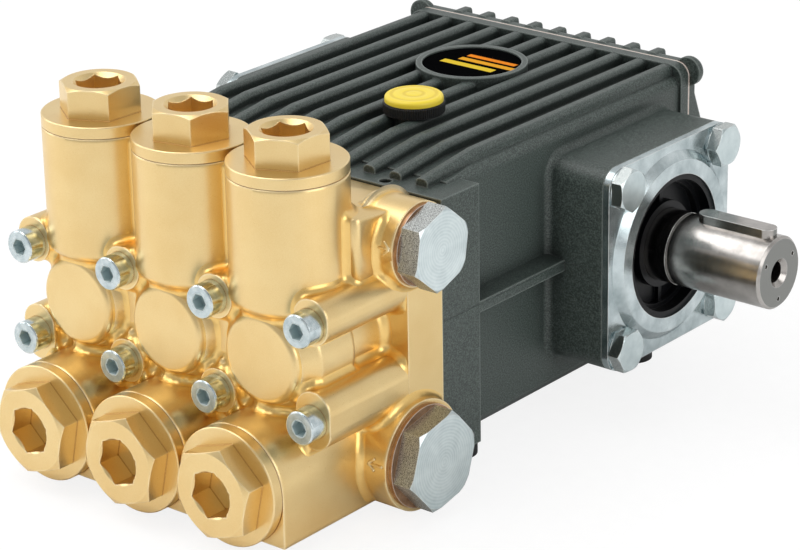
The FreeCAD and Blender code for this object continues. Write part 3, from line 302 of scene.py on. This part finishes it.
def cast_paint(name):
    material, tree, place = new_material(name)
    grain = mottling(tree, place, 0.6, 4.0)
    cloud = mottling(tree, place, 20.0, 3.0)
    # The grain's colour is partly a random tone and partly a painted highlight, paler on the crests of the
    # dents.
    crest = two_tones(tree, grain, "28312E", "5D6863", 0.42, 0.66)
    clouded = add(tree, "MapRange", cloud, 0.3, 0.7, 0.0, 0.3)
    shaded = add(tree, "Mix", clouded, crest, linear("434D49"), data_type="RGBA")
    # Painted shade: the hollows between the ribs are darkened nearly to black.
    hollow_shade = add(tree, "Math", inner_creases(tree, HOLLOW_SHADE_MM), 0.75, operation="MULTIPLY")
    deep = add(tree, "Mix", hollow_shade, shaded, linear("0C1210"), data_type="RGBA")
    # Painted highlight: outer edges are tinted paler.
    edge_highlight = add(tree, "Math", outer_edges(tree, 0.8), 0.5, operation="MULTIPLY")
    colour = add(tree, "Mix", edge_highlight, deep, linear("A3ADA8"), data_type="RGBA")
    z = add(tree, "SeparateXYZ", place).outputs["Z"]
    above = add(tree, "Math", z, PARTING_HEIGHT, operation="SUBTRACT")
    away = add(tree, "Math", above, operation="ABSOLUTE")
    line = add(tree, "MapRange", away, 0.0, PARTING_WIDTH_MM * MM, -2.0, 0.0)
    height = add(tree, "Math", grain, line, operation="ADD")
    surface = add(tree, "BsdfPrincipled", Base_Color=colour, Metallic=0.0,
                  Roughness=add(tree, "MapRange", grain, 0.3, 0.7, 0.34, 0.50),
                  Normal=relief(tree, height, 0.12, 0.9))
    add(tree, "OutputMaterial", surface)
    return material


PAINT = cast_paint("green_grey_paint_on_cast_aluminium")
print("the parting line runs", round(PARTING_HEIGHT / MM, 1), "mm above the floor")

# %% [markdown]
# ## Zinc plating
# Bolts, plugs and bearing covers are steel with bright zinc. It is a pale metal with a cold blue
# tint. The pressed sides of a plug's hexagon are left rough and look like salt and pepper, while its
# end was turned and carries faint rings. The bolts are pressed from smoother stock and have no
# rings, which a pitch far wider than the bolt takes care of.

# %% Zinc
ZINC_DARK, ZINC_LIGHT = "C0CED0", "D8E4E5"


def zinc_hexagon(name, centre, ring_mm=1.3, side_dark="6C6C6A", side_roughness=0.42):
    """Bright zinc on a hexagon that points along X: turned on its end, rough on its sides."""
    material, tree, place = new_material(name)
    pepper = mottling(tree, place, 0.28, 5.0)
    cloud = mottling(tree, place, 7.0, 3.0)
    end = add(tree, "MapRange", facing(tree, (1, 0, 0)), 0.6, 0.95, 0.0, 1.0)
    rings = ripples(tree, from_axis(tree, place, centre, (0, 1, 1)), ring_mm)
    turned = two_tones(tree, cloud, ZINC_DARK, ZINC_LIGHT)
    faint = add(tree, "MapRange", rings, 0.0, 1.0, 0.0, 0.3)
    ringed = add(tree, "Mix", faint, turned, linear("F0F6F6"), data_type="RGBA")
    rough = two_tones(tree, pepper, side_dark, "D4D8D6", 0.42, 0.58)
    plain = add(tree, "Mix", end, rough, ringed, data_type="RGBA")
    # Painted highlight: outer edges are tinted a pale zinc white.
    colour = add(tree, "Mix", outer_edges(tree, 0.3), plain, linear("EEF3F3"), data_type="RGBA")
    height = add(tree, "Mix", end, pepper, rings)
    surface = add(tree, "BsdfPrincipled", Base_Color=colour, Metallic=1.0,
                  Roughness=add(tree, "MapRange", end, 0.0, 1.0, side_roughness, 0.28),
                  Normal=relief(tree, height, 0.02, 0.3))
    add(tree, "OutputMaterial", surface)
    return material


PLUG_ZINC = {port: zinc_hexagon("zinc_plated_%s_plug" % port, centre_of(port + "_plug"))
             for port in ("outlet", "inlet")}
NO_RINGS_MM = 60.0
BOLT_ZINC = zinc_hexagon("zinc_plated_bolt_steel", centre_of("crankshaft"), NO_RINGS_MM, "9AA4A4", 0.2)
for port in PLUG_ZINC:
    print("the", port, "plug turns about an axis", round(centre_of(port + "_plug")[2] / MM, 1), "mm up")

# %% [markdown]
# ## Socket head screws
# A head screw is bright on its rim, with a painted highlight along its outer edges. Inside its
# socket, where light hardly gets in, it is a pale, nearly matt grey, painted light that stands in for
# the light on the socket's facets, and its flank mirrors the brass around it more clearly than its
# worn front does.
# All eight screws stand at an even pitch, so one shader finds the nearest screw axis by wrapping X
# over that pitch and folding Z over the middle height.

# %% Head screws
SOCKET_RADIUS_MM = 3.55


def socket_screw_zinc(name):
    material, tree, place = new_material(name)
    parts = add(tree, "SeparateXYZ", place).outputs
    start = add(tree, "Math", parts["X"], SCREW_COLUMNS[0], operation="SUBTRACT")
    x = add(tree, "Math", start, SCREW_PITCH / 2, -SCREW_PITCH / 2, operation="WRAP")
    middle = (SCREW_LEVELS[0] + SCREW_LEVELS[1]) / 2
    above = add(tree, "Math", parts["Z"], middle, operation="SUBTRACT")
    fold = add(tree, "Math", above, operation="ABSOLUTE")
    z = add(tree, "Math", fold, SCREW_LEVELS[1] - middle, operation="SUBTRACT")
    distance = add(tree, "VectorMath", add(tree, "CombineXYZ", X=x, Z=z), operation="LENGTH")
    rim = add(tree, "MapRange", distance, SOCKET_RADIUS_MM * MM, (SOCKET_RADIUS_MM + 0.15) * MM, 0.0, 1.0)
    pepper = mottling(tree, place, 0.35, 5.0)
    cloud = mottling(tree, place, 3.0, 3.0)
    bright = two_tones(tree, cloud, "B3C2C6", "DCE6E8")
    # Painted light: the socket is a pale, nearly matt grey that stands in for the light on its facets.
    plain = add(tree, "Mix", rim, linear("B4C6C8"), bright, data_type="RGBA")
    # Painted highlight: outer edges are tinted nearly white.
    colour = add(tree, "Mix", outer_edges(tree, 0.3), plain, linear("F4F8F8"), data_type="RGBA")
    front = add(tree, "MapRange", facing(tree, (0, 1, 0)), 0.6, 0.95, 0.0, 1.0)
    plating = add(tree, "MapRange", front, 0.0, 1.0, 1.0, 0.6)
    surface = add(tree, "BsdfPrincipled", Base_Color=colour,
                  Metallic=add(tree, "Mix", rim, 0.1, plating),
                  Roughness=add(tree, "MapRange", rim, 0.0, 1.0, 0.45, 0.19),
                  Normal=relief(tree, pepper, 0.02, 0.35))
    add(tree, "OutputMaterial", surface)
    return material


SCREW_ZINC = socket_screw_zinc("zinc_plated_socket_screws")
print("screw axes every", round(SCREW_PITCH / MM, 2), "mm")

# %% [markdown]
# ## Pressed and rolled sheet
# The bearing covers and the small screws of the rear cover have the same zinc over a smoother
# surface: it only clouds over a centimetre or so. Copper washers keep a soft brown shine.

# %% Smooth zinc and copper
def smooth_metal(name, dark, light, roughness, cloud_mm, grain_mm=0.5, depth_mm=0.006):
    material, tree, place = new_material(name)
    cloud = mottling(tree, place, cloud_mm, 3.0)
    grain = mottling(tree, place, grain_mm, 4.0)
    body = two_tones(tree, cloud, dark, light)
    # Painted highlight: outer edges are tinted nearly white.
    colour = add(tree, "Mix", outer_edges(tree, 0.3), body, linear("F2F2F0"), data_type="RGBA")
    surface = add(tree, "BsdfPrincipled", Base_Color=colour, Metallic=1.0,
                  Roughness=add(tree, "MapRange", cloud, 0.3, 0.7, roughness, roughness + 0.10),
                  Normal=relief(tree, grain, depth_mm, 0.3))
    add(tree, "OutputMaterial", surface)
    return material


COVER_ZINC = smooth_metal("zinc_plated_cover_sheet", "9BA9AC", "D3DEE0", 0.17, 11.0)
SMALL_ZINC = smooth_metal("zinc_plated_small_screws", "A0AAAC", "C6CFD0", 0.3, 3.0)
COPPER = smooth_metal("rolled_copper", "9A7458", "C29C7C", 0.34, 4.0, 0.6, 0.02)
print("smooth metals:", COVER_ZINC.name, SMALL_ZINC.name, COPPER.name)

# %% [markdown]
# ## Ground steel
# The shaft was ground while it turned, so its marks run around it and stretch every highlight along
# its length. The Principled shader does that with anisotropy around the X axis. Marks as fine as
# the real ones would not show, so they are drawn a fifth of a millimetre wide. The end was only
# faced off and is darker.

# %% Steel
def ground_steel(name):
    material, tree, place = new_material(name)
    rings = mottling(tree, place, 0.22, 2.0, (1, 0.02, 0.02))
    stain = mottling(tree, place, 12.0, 3.0)
    body = two_tones(tree, stain, "9C9894", "C4C0BC")
    end = add(tree, "MapRange", facing(tree, (1, 0, 0)), 0.9, 0.99, 0.0, 1.0)
    faced = add(tree, "Mix", end, body, linear("858683"), data_type="RGBA")
    # Painted highlight: outer edges are tinted nearly white.
    colour = add(tree, "Mix", outer_edges(tree, 0.3), faced, linear("EEEEEC"), data_type="RGBA")
    around = add(tree, "Tangent", direction_type="RADIAL", axis="X")
    surface = add(tree, "BsdfPrincipled", Base_Color=colour, Metallic=1.0, Anisotropic=0.5, Tangent=around,
                  Roughness=add(tree, "MapRange", rings, 0.3, 0.7, 0.16, 0.26),
                  Normal=relief(tree, rings, 0.004, 0.3))
    add(tree, "OutputMaterial", surface)
    return material


STEEL = ground_steel("ground_shaft_steel")
print("the shaft axis is", round(centre_of("crankshaft")[2] / MM, 1), "mm above the floor")

# %% [markdown]
# ## Rubber, plastic and fibre
# Moulded pieces have one colour right through, a faint grain from the mould and a soft edge. The
# yellow cap has shallow steps around its middle. The gasket is a thin sheet of pressed fibre.

# %% Moulded pieces
def moulded(name, dark, light, roughness, grain_mm=0.5, depth_mm=0.03, sheen=0.5):
    """Rubber or plastic from a mould. sheen is how strongly it mirrors: 0.5 is a usual plastic."""
    material, tree, place = new_material(name)
    grain = mottling(tree, place, grain_mm, 4.0)
    surface = add(tree, "BsdfPrincipled", Metallic=0.0, Specular_IOR_Level=sheen,
                  Base_Color=two_tones(tree, grain, dark, light),
                  Roughness=add(tree, "MapRange", grain, 0.3, 0.7, roughness, roughness + 0.08),
                  Normal=relief(tree, grain, depth_mm, 0.25))
    add(tree, "OutputMaterial", surface)
    return material


def stepped_yellow(name, centre):
    """Yellow plastic with three shallow steps around the middle of the cap."""
    material, tree, place = new_material(name)
    grain = mottling(tree, place, 0.8, 3.0)
    steps = ripples(tree, from_axis(tree, place, centre, (1, 1, 0)), 5.2)
    surface = add(tree, "BsdfPrincipled", Metallic=0.0,
                  Base_Color=two_tones(tree, steps, "E6C722", "F6DC3E", 0.0, 0.35),
                  Roughness=add(tree, "MapRange", grain, 0.3, 0.7, 0.34, 0.44),
                  Normal=relief(tree, steps, 0.22, 0.5))
    add(tree, "OutputMaterial", surface)
    return material


SEAL_BLACK = moulded("black_seal_rubber", "030406", "080A0E", 0.3, 0.6, 0.01, 0.2)
PLUG_BLACK = moulded("black_moulded_plastic", "0E0F10", "1A1C1C", 0.42)
YELLOW = stepped_yellow("yellow_moulded_plastic", centre_of("oil_filler_cap"))
GASKET = moulded("pressed_fibre_gasket", "CDB7A8", "EDE2DA", 0.6)
FOOT = moulded("black_foot_rubber", "101112", "1A1B1C", 0.5)
print("moulded:", SEAL_BLACK.name, PLUG_BLACK.name, YELLOW.name, GASKET.name, FOOT.name)

# %% [markdown]
# ## The label
# A black foil disc with three plain colour bars lies in its ring. A bar could be a mesh of its own,
# but the foil is flat, so a pattern is enough: a soft-edged rectangle, cut from the coordinates by
# how far a point is outside the bar along X and along Y, whichever is more.

# %% Label
def bar(tree, place, centre, half_width_mm, half_depth_mm):
    """1 inside a rectangle that lies level, 0 outside."""
    offset = add(tree, "VectorMath", place, centre, operation="SUBTRACT")
    size = add(tree, "VectorMath", offset, operation="ABSOLUTE")
    half_size = (half_width_mm * MM, half_depth_mm * MM, 1.0)
    past = add(tree, "SeparateXYZ", add(tree, "VectorMath", size, half_size, operation="SUBTRACT")).outputs
    furthest = add(tree, "Math", past["X"], past["Y"], operation="MAXIMUM")
    return add(tree, "MapRange", furthest, -0.1 * MM, 0.1 * MM, 1.0, 0.0)


LABEL_BARS = {"orange": ("E8862A", 4.5, 8.2, 12.5, 1.5), "amber": ("E2A030", 6.5, 3.0, 15.0, 1.7),
              "yellow": ("DDBE3C", 0.5, -3.4, 13.5, 2.0)}


def label_foil(name):
    """Black foil with the plain bars: colour, then X, Y and half sizes in mm from the label's middle."""
    material, tree, place = new_material(name)
    grain = mottling(tree, place, 0.6, 2.0)
    colour = two_tones(tree, grain, "050506", "0A0A0B")
    middle = centre_of("label_disc")
    for tone, x, y, half_width, half_depth in LABEL_BARS.values():
        centre = (middle[0] + x * MM, middle[1] + y * MM, middle[2])
        inside = bar(tree, place, centre, half_width, half_depth)
        colour = add(tree, "Mix", inside, colour, linear(tone), data_type="RGBA")
    surface = add(tree, "BsdfPrincipled", Base_Color=colour, Metallic=0.0, Specular_IOR_Level=0.0,
                  Roughness=0.45, Normal=relief(tree, grain, 0.004, 0.2))
    add(tree, "OutputMaterial", surface)
    return material


LABEL = label_foil("black_foil_with_plain_bars")
print("label bars:", ", ".join(LABEL_BARS))

# %% [markdown]
# ## Give every piece its finish
# Pieces of a numbered family, such as the eight head screws, share one finish, so a name without its
# number is looked up when the full name has no finish of its own. The mesh of a piece stays as it
# is: only its material slots are filled.

# %% Finishes
FINISHES = {
    "manifold": BRASS,
    "outlet_valve_cap": CAP_BRASS, "inlet_valve_cap": CAP_BRASS,
    "head_screw": SCREW_ZINC,
    "outlet_plug": PLUG_ZINC["outlet"], "inlet_plug": PLUG_ZINC["inlet"],
    "outlet_plug_washer": COPPER, "inlet_plug_washer": COPPER,
    "crankcase": PAINT, "rear_cover": PAINT,
    "rear_gasket": GASKET, "rear_cover_screws": SMALL_ZINC,
    "drive_bearing_cover": COVER_ZINC, "closed_bearing_cover": COVER_ZINC,
    "drive_cover_bolts": BOLT_ZINC, "closed_cover_bolts": BOLT_ZINC,
    "drive_cover_washers": COVER_ZINC, "closed_cover_washers": COVER_ZINC,
    "shaft_seal": SEAL_BLACK, "crankshaft": STEEL, "shaft_key": STEEL,
    "oil_filler_plug": PLUG_BLACK, "oil_filler_cap": YELLOW,
    "label_disc": LABEL, "feet": FOOT,
}


def finish_of(node_name):
    """The finish of a piece: its own, or that of its numbered family."""
    family = node_name.rstrip("0123456789").rstrip("_")
    return FINISHES.get(node_name) or FINISHES[family]


for node_name, piece in NODES.items():
    material = finish_of(node_name)
    for slot in piece.material_slots:
        slot.material = material
print("materials in use:", sorted({finish_of(n).name for n in NODES}))

# %% [markdown]
# ## Pieces that the scene adds
# A few forms of the real pump are not in the CAD model: the roots between the barrels of its head,
# the swelling of its upper block, the arrows on its ports and the grip of its filler plug. Each
# becomes a mesh of its own that rides on the body of the pump, so one helper turns a mesh into such
# a piece.

# %% A piece from a mesh
def piece_from(name, mesh, material, body="pump"):
    """Turns a bmesh into an object with a material that rides on a body of the pump."""
    data = bpy.data.meshes.new(name)
    mesh.to_mesh(data)
    mesh.free()
    made = bpy.data.objects.new(name, data)
    bpy.context.collection.objects.link(made)
    data.materials.append(material)
    for face in data.polygons:
        face.use_smooth = True
    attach(made, body)
    return made


PLATE_RISE_MM = 49.4
JOINT_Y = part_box("manifold")[1][1]
PLATE_TOP = centre_of("crankshaft")[2] + PLATE_RISE_MM * MM
print("the joint stands at y", round(JOINT_Y / MM, 1), "mm, its plate reaches up to z",
      round(PLATE_TOP / MM, 1), "mm")

# %% [markdown]
# ## The cheek of the upper block
# The upper block swells towards its front, where its side wall carries the outlet boss. That cheek
# is a plain prism whose top climbs towards the front, with rounded upright corners in front. Beveling
# only the edges that a die would round keeps its back face sharp, where it dives into the head.

# %% Cheek
CHEEK_HALF_WIDTH_MM = 75.5
CHEEK_FRONT_MM = 44.5
CHEEK_RISE_MM = 5.0
CHEEK_DEPTH_MM = 30.0
CHEEK_CORNER_MM = 3.0
CHEEK_CREST_MM = 0.6


def cheek_mesh():
    """The swollen upper block: a prism whose top climbs towards the front."""
    mesh = bmesh.new()
    back, front = JOINT_Y - 0.5 * MM, JOINT_Y - CHEEK_FRONT_MM * MM
    bottom = PLATE_TOP - CHEEK_DEPTH_MM * MM
    profile = [(back, PLATE_TOP - 0.1 * MM), (front, PLATE_TOP + CHEEK_RISE_MM * MM),
               (front, bottom), (back, bottom)]
    ends = []
    for side in (-1, 1):
        ends.append([mesh.verts.new((side * CHEEK_HALF_WIDTH_MM * MM, y, z)) for y, z in profile])
    for n in range(4):
        mesh.faces.new((ends[0][n], ends[0][(n + 1) % 4], ends[1][(n + 1) % 4], ends[1][n]))
    mesh.faces.new(ends[0])
    mesh.faces.new(ends[1])
    bmesh.ops.recalc_face_normals(mesh, faces=mesh.faces)
    upright = [e for e in mesh.edges if all(abs(v.co.y - front) < 1e-6 for v in e.verts)
               and abs(e.verts[0].co.x - e.verts[1].co.x) < 1e-6]
    bmesh.ops.bevel(mesh, geom=upright, offset=CHEEK_CORNER_MM * MM, segments=6,
                    affect="EDGES", profile=0.5)
    crest = [e for e in mesh.edges if len(e.link_faces) == 2 and e.calc_face_angle() > 0.6
             and min(v.co.z for v in e.verts) > PLATE_TOP - 1.0 * MM]
    bmesh.ops.bevel(mesh, geom=crest, offset=CHEEK_CREST_MM * MM, segments=2, affect="EDGES", profile=0.5)
    return mesh


cheek = piece_from("upper_block_cheek", cheek_mesh(), BRASS)
print("the cheek reaches", CHEEK_FRONT_MM, "mm in front of the joint")

# %% [markdown]
# ## Soft roots on the forged head
# In CAD the barrels, sleeves and bosses of the head meet in sharp inner corners. A forging die cannot
# make those: metal flows round a corner in a soft root of about two millimetres. To find those
# roots we let a ball of that size roll over the head. Growing the head by the ball's radius, meshing
# it afresh and shrinking it again by the same amount gives the surface that the ball touches: outer
# edges come back where they were, inner corners are filled. Shrinking by a hair more sinks the open
# faces under the CAD surface, so the milled faces stay the exact ones.
# We keep the vertices that stand proud, let them grow over small holes and draw them back, and leave
# two more rings, whose faces dive under the surface so that no border shows.

# %% Roll a ball over the head
ROOT_RADIUS_MM = 1.8
VOXEL_MM = 0.7
SINK_MM = 0.12
HOLE_RINGS, BORDER_RINGS = 4, 2


def worked(made, *steps):
    """Runs modifiers on an object one after another and keeps the result."""
    for kind, options in steps:
        modifier = made.modifiers.new(kind.lower(), kind)
        for name, value in options.items():
            setattr(modifier, name, value)
        graph = bpy.context.evaluated_depsgraph_get()
        result = bpy.data.meshes.new_from_object(made.evaluated_get(graph))
        made.modifiers.clear()
        made.data = result


def soft_roots():
    """The filled inner corners of the head, as one thin skin that shows only there."""
    raw = bmesh.new()
    for source in (NODES["manifold"], cheek):
        raw.from_mesh(source.data)
    bmesh.ops.remove_doubles(raw, verts=raw.verts, dist=1e-6)
    tree = BVHTree.FromBMesh(raw)
    skin = piece_from("forged_root_fillets", raw, ROOT_BRASS)
    afresh = ("REMESH", {"mode": "VOXEL", "voxel_size": VOXEL_MM * MM, "use_smooth_shade": True})
    grow = ("DISPLACE", {"strength": ROOT_RADIUS_MM * MM, "mid_level": 0.0})
    shrink = ("DISPLACE", {"strength": -(ROOT_RADIUS_MM + SINK_MM) * MM, "mid_level": 0.0})
    even = ("SMOOTH", {"factor": 0.5, "iterations": 4})
    worked(skin, afresh, grow, afresh, shrink, afresh, even)
    mesh = bmesh.new()
    mesh.from_mesh(skin.data)
    kept = set()
    for vertex in mesh.verts:
        nearest, normal, face, distance = tree.find_nearest(vertex.co)
        if (vertex.co - nearest).dot(normal) > 0 and distance < 2 * ROOT_RADIUS_MM * MM:
            kept.add(vertex)
    for ring in range(HOLE_RINGS + BORDER_RINGS):
        kept |= {edge.other_vert(vertex) for vertex in kept for edge in vertex.link_edges}
    for ring in range(HOLE_RINGS):
        kept = {vertex for vertex in kept
                if all(edge.other_vert(vertex) in kept for edge in vertex.link_edges)}
    hidden = [f for f in mesh.faces if not all(v in kept for v in f.verts)]
    bmesh.ops.delete(mesh, geom=hidden, context="FACES")
    mesh.to_mesh(skin.data)
    mesh.free()
    for face in skin.data.polygons:
        face.use_smooth = True
    return skin


roots = soft_roots()
print("the soft roots have", len(roots.data.polygons), "faces")

# %% [markdown]
# ## Details that a mould leaves
# Each port boss carries a raised arrow for the flow: out of the upper ports, into the lower ones.
# An arrow is three thin bars, and sits a little above the middle of the boss. Each bar is a strip
# of small quads that is laid on the plan of the boss, along X and around its axis, then bent onto
# the cylinder: around its axis a distance becomes an angle once it is divided by the radius.

# %% Raised arrows
ARROW_LENGTH_MM = 7.0
ARROW_HEAD_MM = 5.0
ARROW_LIFT_MM = 2.5
STROKE_MM = 1.0
STROKE_RISE_MM = 0.5


def stroke(mesh, start, end, centre, radius):
    """One bar from start to end, each a place (along X, around the axis) in metres on the boss."""
    along = Vector(end) - Vector(start)
    across = Vector((-along.y, along.x)).normalized() * (STROKE_MM * MM / 2)
    steps = 8
    rows = []
    for step in range(steps + 1):
        middle = Vector(start) + along * (step / steps)
        row = []
        for flank, lift in ((-1.3, -0.1), (-0.7, STROKE_RISE_MM), (0.7, STROKE_RISE_MM), (1.3, -0.1)):
            x, arc = middle + across * flank
            turn = math.pi + arc / radius
            reach = radius + lift * MM
            row.append(mesh.verts.new((x, centre[1] + reach * math.cos(turn),
                                       centre[2] - reach * math.sin(turn))))
        rows.append(row)
    for near, far in zip(rows, rows[1:]):
        for n in range(3):
            mesh.faces.new((near[n], near[n + 1], far[n + 1], far[n]))
    mesh.faces.new(rows[0])
    mesh.faces.new(rows[-1])


def boss_arrow(name, port, radius_mm, side, outwards):
    """A raised arrow on the front of a port boss, pointing away from the pump or into it."""
    washer_low, washer_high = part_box(port + "_plug_washer")
    centre = centre_of(port + "_plug_washer")
    tip, tail = washer_low[0] - 1.5 * MM, washer_low[0] - (1.5 + ARROW_LENGTH_MM) * MM
    if not outwards:
        tip, tail = tail, tip
    back = math.copysign(ARROW_HEAD_MM * MM * 0.6, tail - tip)
    wing, lift = ARROW_HEAD_MM * MM / 2, ARROW_LIFT_MM * MM
    mesh = bmesh.new()
    radius = radius_mm * MM
    for start, end in (((tail, lift), (tip, lift)), ((tip, lift), (tip + back, lift + wing)),
                       ((tip, lift), (tip + back, lift - wing))):
        stroke(mesh, (side * start[0], start[1]), (side * end[0], end[1]), centre, radius)
    bmesh.ops.recalc_face_normals(mesh, faces=mesh.faces)
    piece_from(name, mesh, CAP_BRASS)


OUTLET_BOSS_MM, INLET_BOSS_MM = 16.6, 22.3
for side, word in ((1, "drive"), (-1, "closed")):
    boss_arrow("outlet_flow_arrow_" + word, "outlet", OUTLET_BOSS_MM, side, True)
    boss_arrow("inlet_flow_arrow_" + word, "inlet", INLET_BOSS_MM, side, False)
print("four flow arrows, each", ARROW_LENGTH_MM, "mm long")

# %% [markdown]
# The black skirt of the filler plug has a fine grip. It is one closed band whose outline steps in and
# out around the circle, which is lighter than a hundred separate ribs.

# %% Grip of the filler plug
GRIP_TEETH = 84
GRIP_DEPTH_MM = 0.35
SKIRT_HEIGHT_MM = 4.6


def filler_grip():
    """The toothed band around the skirt."""
    low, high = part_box("oil_filler_plug")
    centre = centre_of("oil_filler_plug")
    radius = (high[0] - low[0]) / 2
    cap_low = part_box("oil_filler_cap")[0][2]
    mesh = bmesh.new()
    columns = []
    for number in range(GRIP_TEETH * 4):
        out = (0.0, 1.0, 1.0, 0.0)[number % 4]
        turn = 2 * math.pi * number / (GRIP_TEETH * 4)
        column = []
        for rise, inset in ((0.3, 0.4), (0.5, 0.0), (4.0, 0.0), (4.3, 0.4)):
            reach = radius + (out * GRIP_DEPTH_MM - inset) * MM
            column.append(mesh.verts.new((centre[0] + reach * math.cos(turn),
                                          centre[1] + reach * math.sin(turn),
                                          cap_low - SKIRT_HEIGHT_MM * MM + rise * MM)))
        columns.append(column)
    for near, far in zip(columns, columns[1:] + columns[:1]):
        for n in range(3):
            mesh.faces.new((near[n], far[n], far[n + 1], near[n + 1]))
    grip = piece_from("filler_plug_grip", mesh, PLUG_BLACK)
    for face in grip.data.polygons:
        face.use_smooth = False


filler_grip()
print("the grip has", GRIP_TEETH, "teeth")

# %% [markdown]
# ## The studio
# The pump stands on a pale floor under a large soft lamp, with a smaller one on either side. The
# room around it is white behind the pump and darker behind the camera, because bright metal needs
# something dark to reflect.
# The camera sees a plain white background instead of that room.

# %% Room
VIEW_AHEAD = (-0.593, 0.716, 0.0)


def build_room():
    """White walls ahead of the camera, dimmer ones behind it, and plain white for the camera itself."""
    world = bpy.data.worlds.new("studio_room")
    bpy.context.scene.world = world
    world.use_nodes = True
    tree = world.node_tree
    tree.nodes.clear()
    way = add(tree, "TexCoord").outputs["Generated"]
    ahead = add(tree, "VectorMath", way, VIEW_AHEAD, operation="DOT_PRODUCT")
    wall = add(tree, "MapRange", ahead, -0.5, 0.35, 0.53, 0.88)
    upper = add(tree, "MapRange", add(tree, "SeparateXYZ", way).outputs["Z"], 0.1, 0.9, 1.0, 0.80)
    glow = add(tree, "Math", wall, upper, operation="MULTIPLY")
    room = add(tree, "Background", Color=linear("FFFFFF"), Strength=glow)
    plain = add(tree, "Background", Color=linear("FFFFFF"), Strength=1.0)
    seen = add(tree, "LightPath").outputs["Is Camera Ray"]
    add(tree, "OutputWorld", add(tree, "MixShader", seen, room, plain))


def soft_lamp(name, place, target, size, power):
    """A square soft box that looks at a point. size is in metres and power in watts."""
    data = bpy.data.lights.new(name, "AREA")
    data.size = size
    data.energy = power
    lamp = bpy.data.objects.new(name, data)
    lamp.location = place
    lamp.rotation_mode = "QUATERNION"
    lamp.rotation_quaternion = (Vector(target) - Vector(place)).to_track_quat("-Z", "Y")
    bpy.context.collection.objects.link(lamp)


build_room()
soft_lamp("overhead_soft_box", (-0.35, -0.35, 1.1), (0, 0, 0.06), 0.9, 5.8)
soft_lamp("left_soft_box", (-1.1, -0.5, 0.55), (0, -0.05, 0.08), 0.6, 2.0)
soft_lamp("right_soft_box", (1.0, -0.1, 0.45), (0, -0.05, 0.06), 0.6, 2.6)
print("lamps:", len(bpy.data.lights))

# %% [markdown]
# The floor catches the shadow and still melts into the white background: seen by the camera, most of
# it glows a little, while every other ray meets a plain matt sheet.

# %% Floor
FLOOR_HALF_SIDE = 3.0
FLOOR_GLOW, FLOOR_GLOW_SHARE = 1.06, 0.82


def build_floor():
    """A pale sheet under the feet."""
    mesh = bpy.data.meshes.new("floor")
    corners = [(x * FLOOR_HALF_SIDE, y * FLOOR_HALF_SIDE, 0)
               for x, y in ((-1, -1), (1, -1), (1, 1), (-1, 1))]
    mesh.from_pydata(corners, [], [(0, 1, 2, 3)])
    floor = bpy.data.objects.new("floor", mesh)
    bpy.context.collection.objects.link(floor)
    material, tree, place = new_material("pale_floor")
    fibre = mottling(tree, place, 6.0, 2.0)
    tone = add(tree, "Mix", fibre, linear("FBFBFB"), linear("FFFFFF"), data_type="RGBA")
    sheet = add(tree, "BsdfDiffuse", Color=tone)
    glow = add(tree, "Emission", Color=tone, Strength=FLOOR_GLOW)
    seen = add(tree, "LightPath").outputs["Is Camera Ray"]
    share = add(tree, "Math", seen, FLOOR_GLOW_SHARE, operation="MULTIPLY")
    add(tree, "OutputMaterial", add(tree, "MixShader", share, sheet, glow))
    mesh.materials.append(material)


build_floor()
print("the floor is", 2 * FLOOR_HALF_SIDE, "m wide")

# %% [markdown]
# ## The camera
# A long lens from a little over a metre away keeps the upright lines nearly parallel. Its place and
# turn were found from the edges of the pump in the photograph.

# %% Camera
LENS_MM = 135.91
CAMERA_PLACE = (0.74588, -0.92186, 0.5114)
CAMERA_TURN = (68.4146, 0.9621, 39.2193)


def build_camera():
    """The camera that took the photograph, as far as the edges of the pump tell."""
    data = bpy.data.cameras.new("product_camera")
    data.sensor_width = 36.0
    data.lens = LENS_MM
    data.clip_start = 0.05
    data.clip_end = 20.0
    camera = bpy.data.objects.new("product_camera", data)
    camera.location = CAMERA_PLACE
    camera.rotation_euler = [math.radians(angle) for angle in CAMERA_TURN]
    bpy.context.collection.objects.link(camera)
    bpy.context.scene.camera = camera


build_camera()
bpy.context.scene.view_settings.view_transform = "Standard"
print("the camera stands", round(Vector(CAMERA_PLACE).length, 2), "m away")
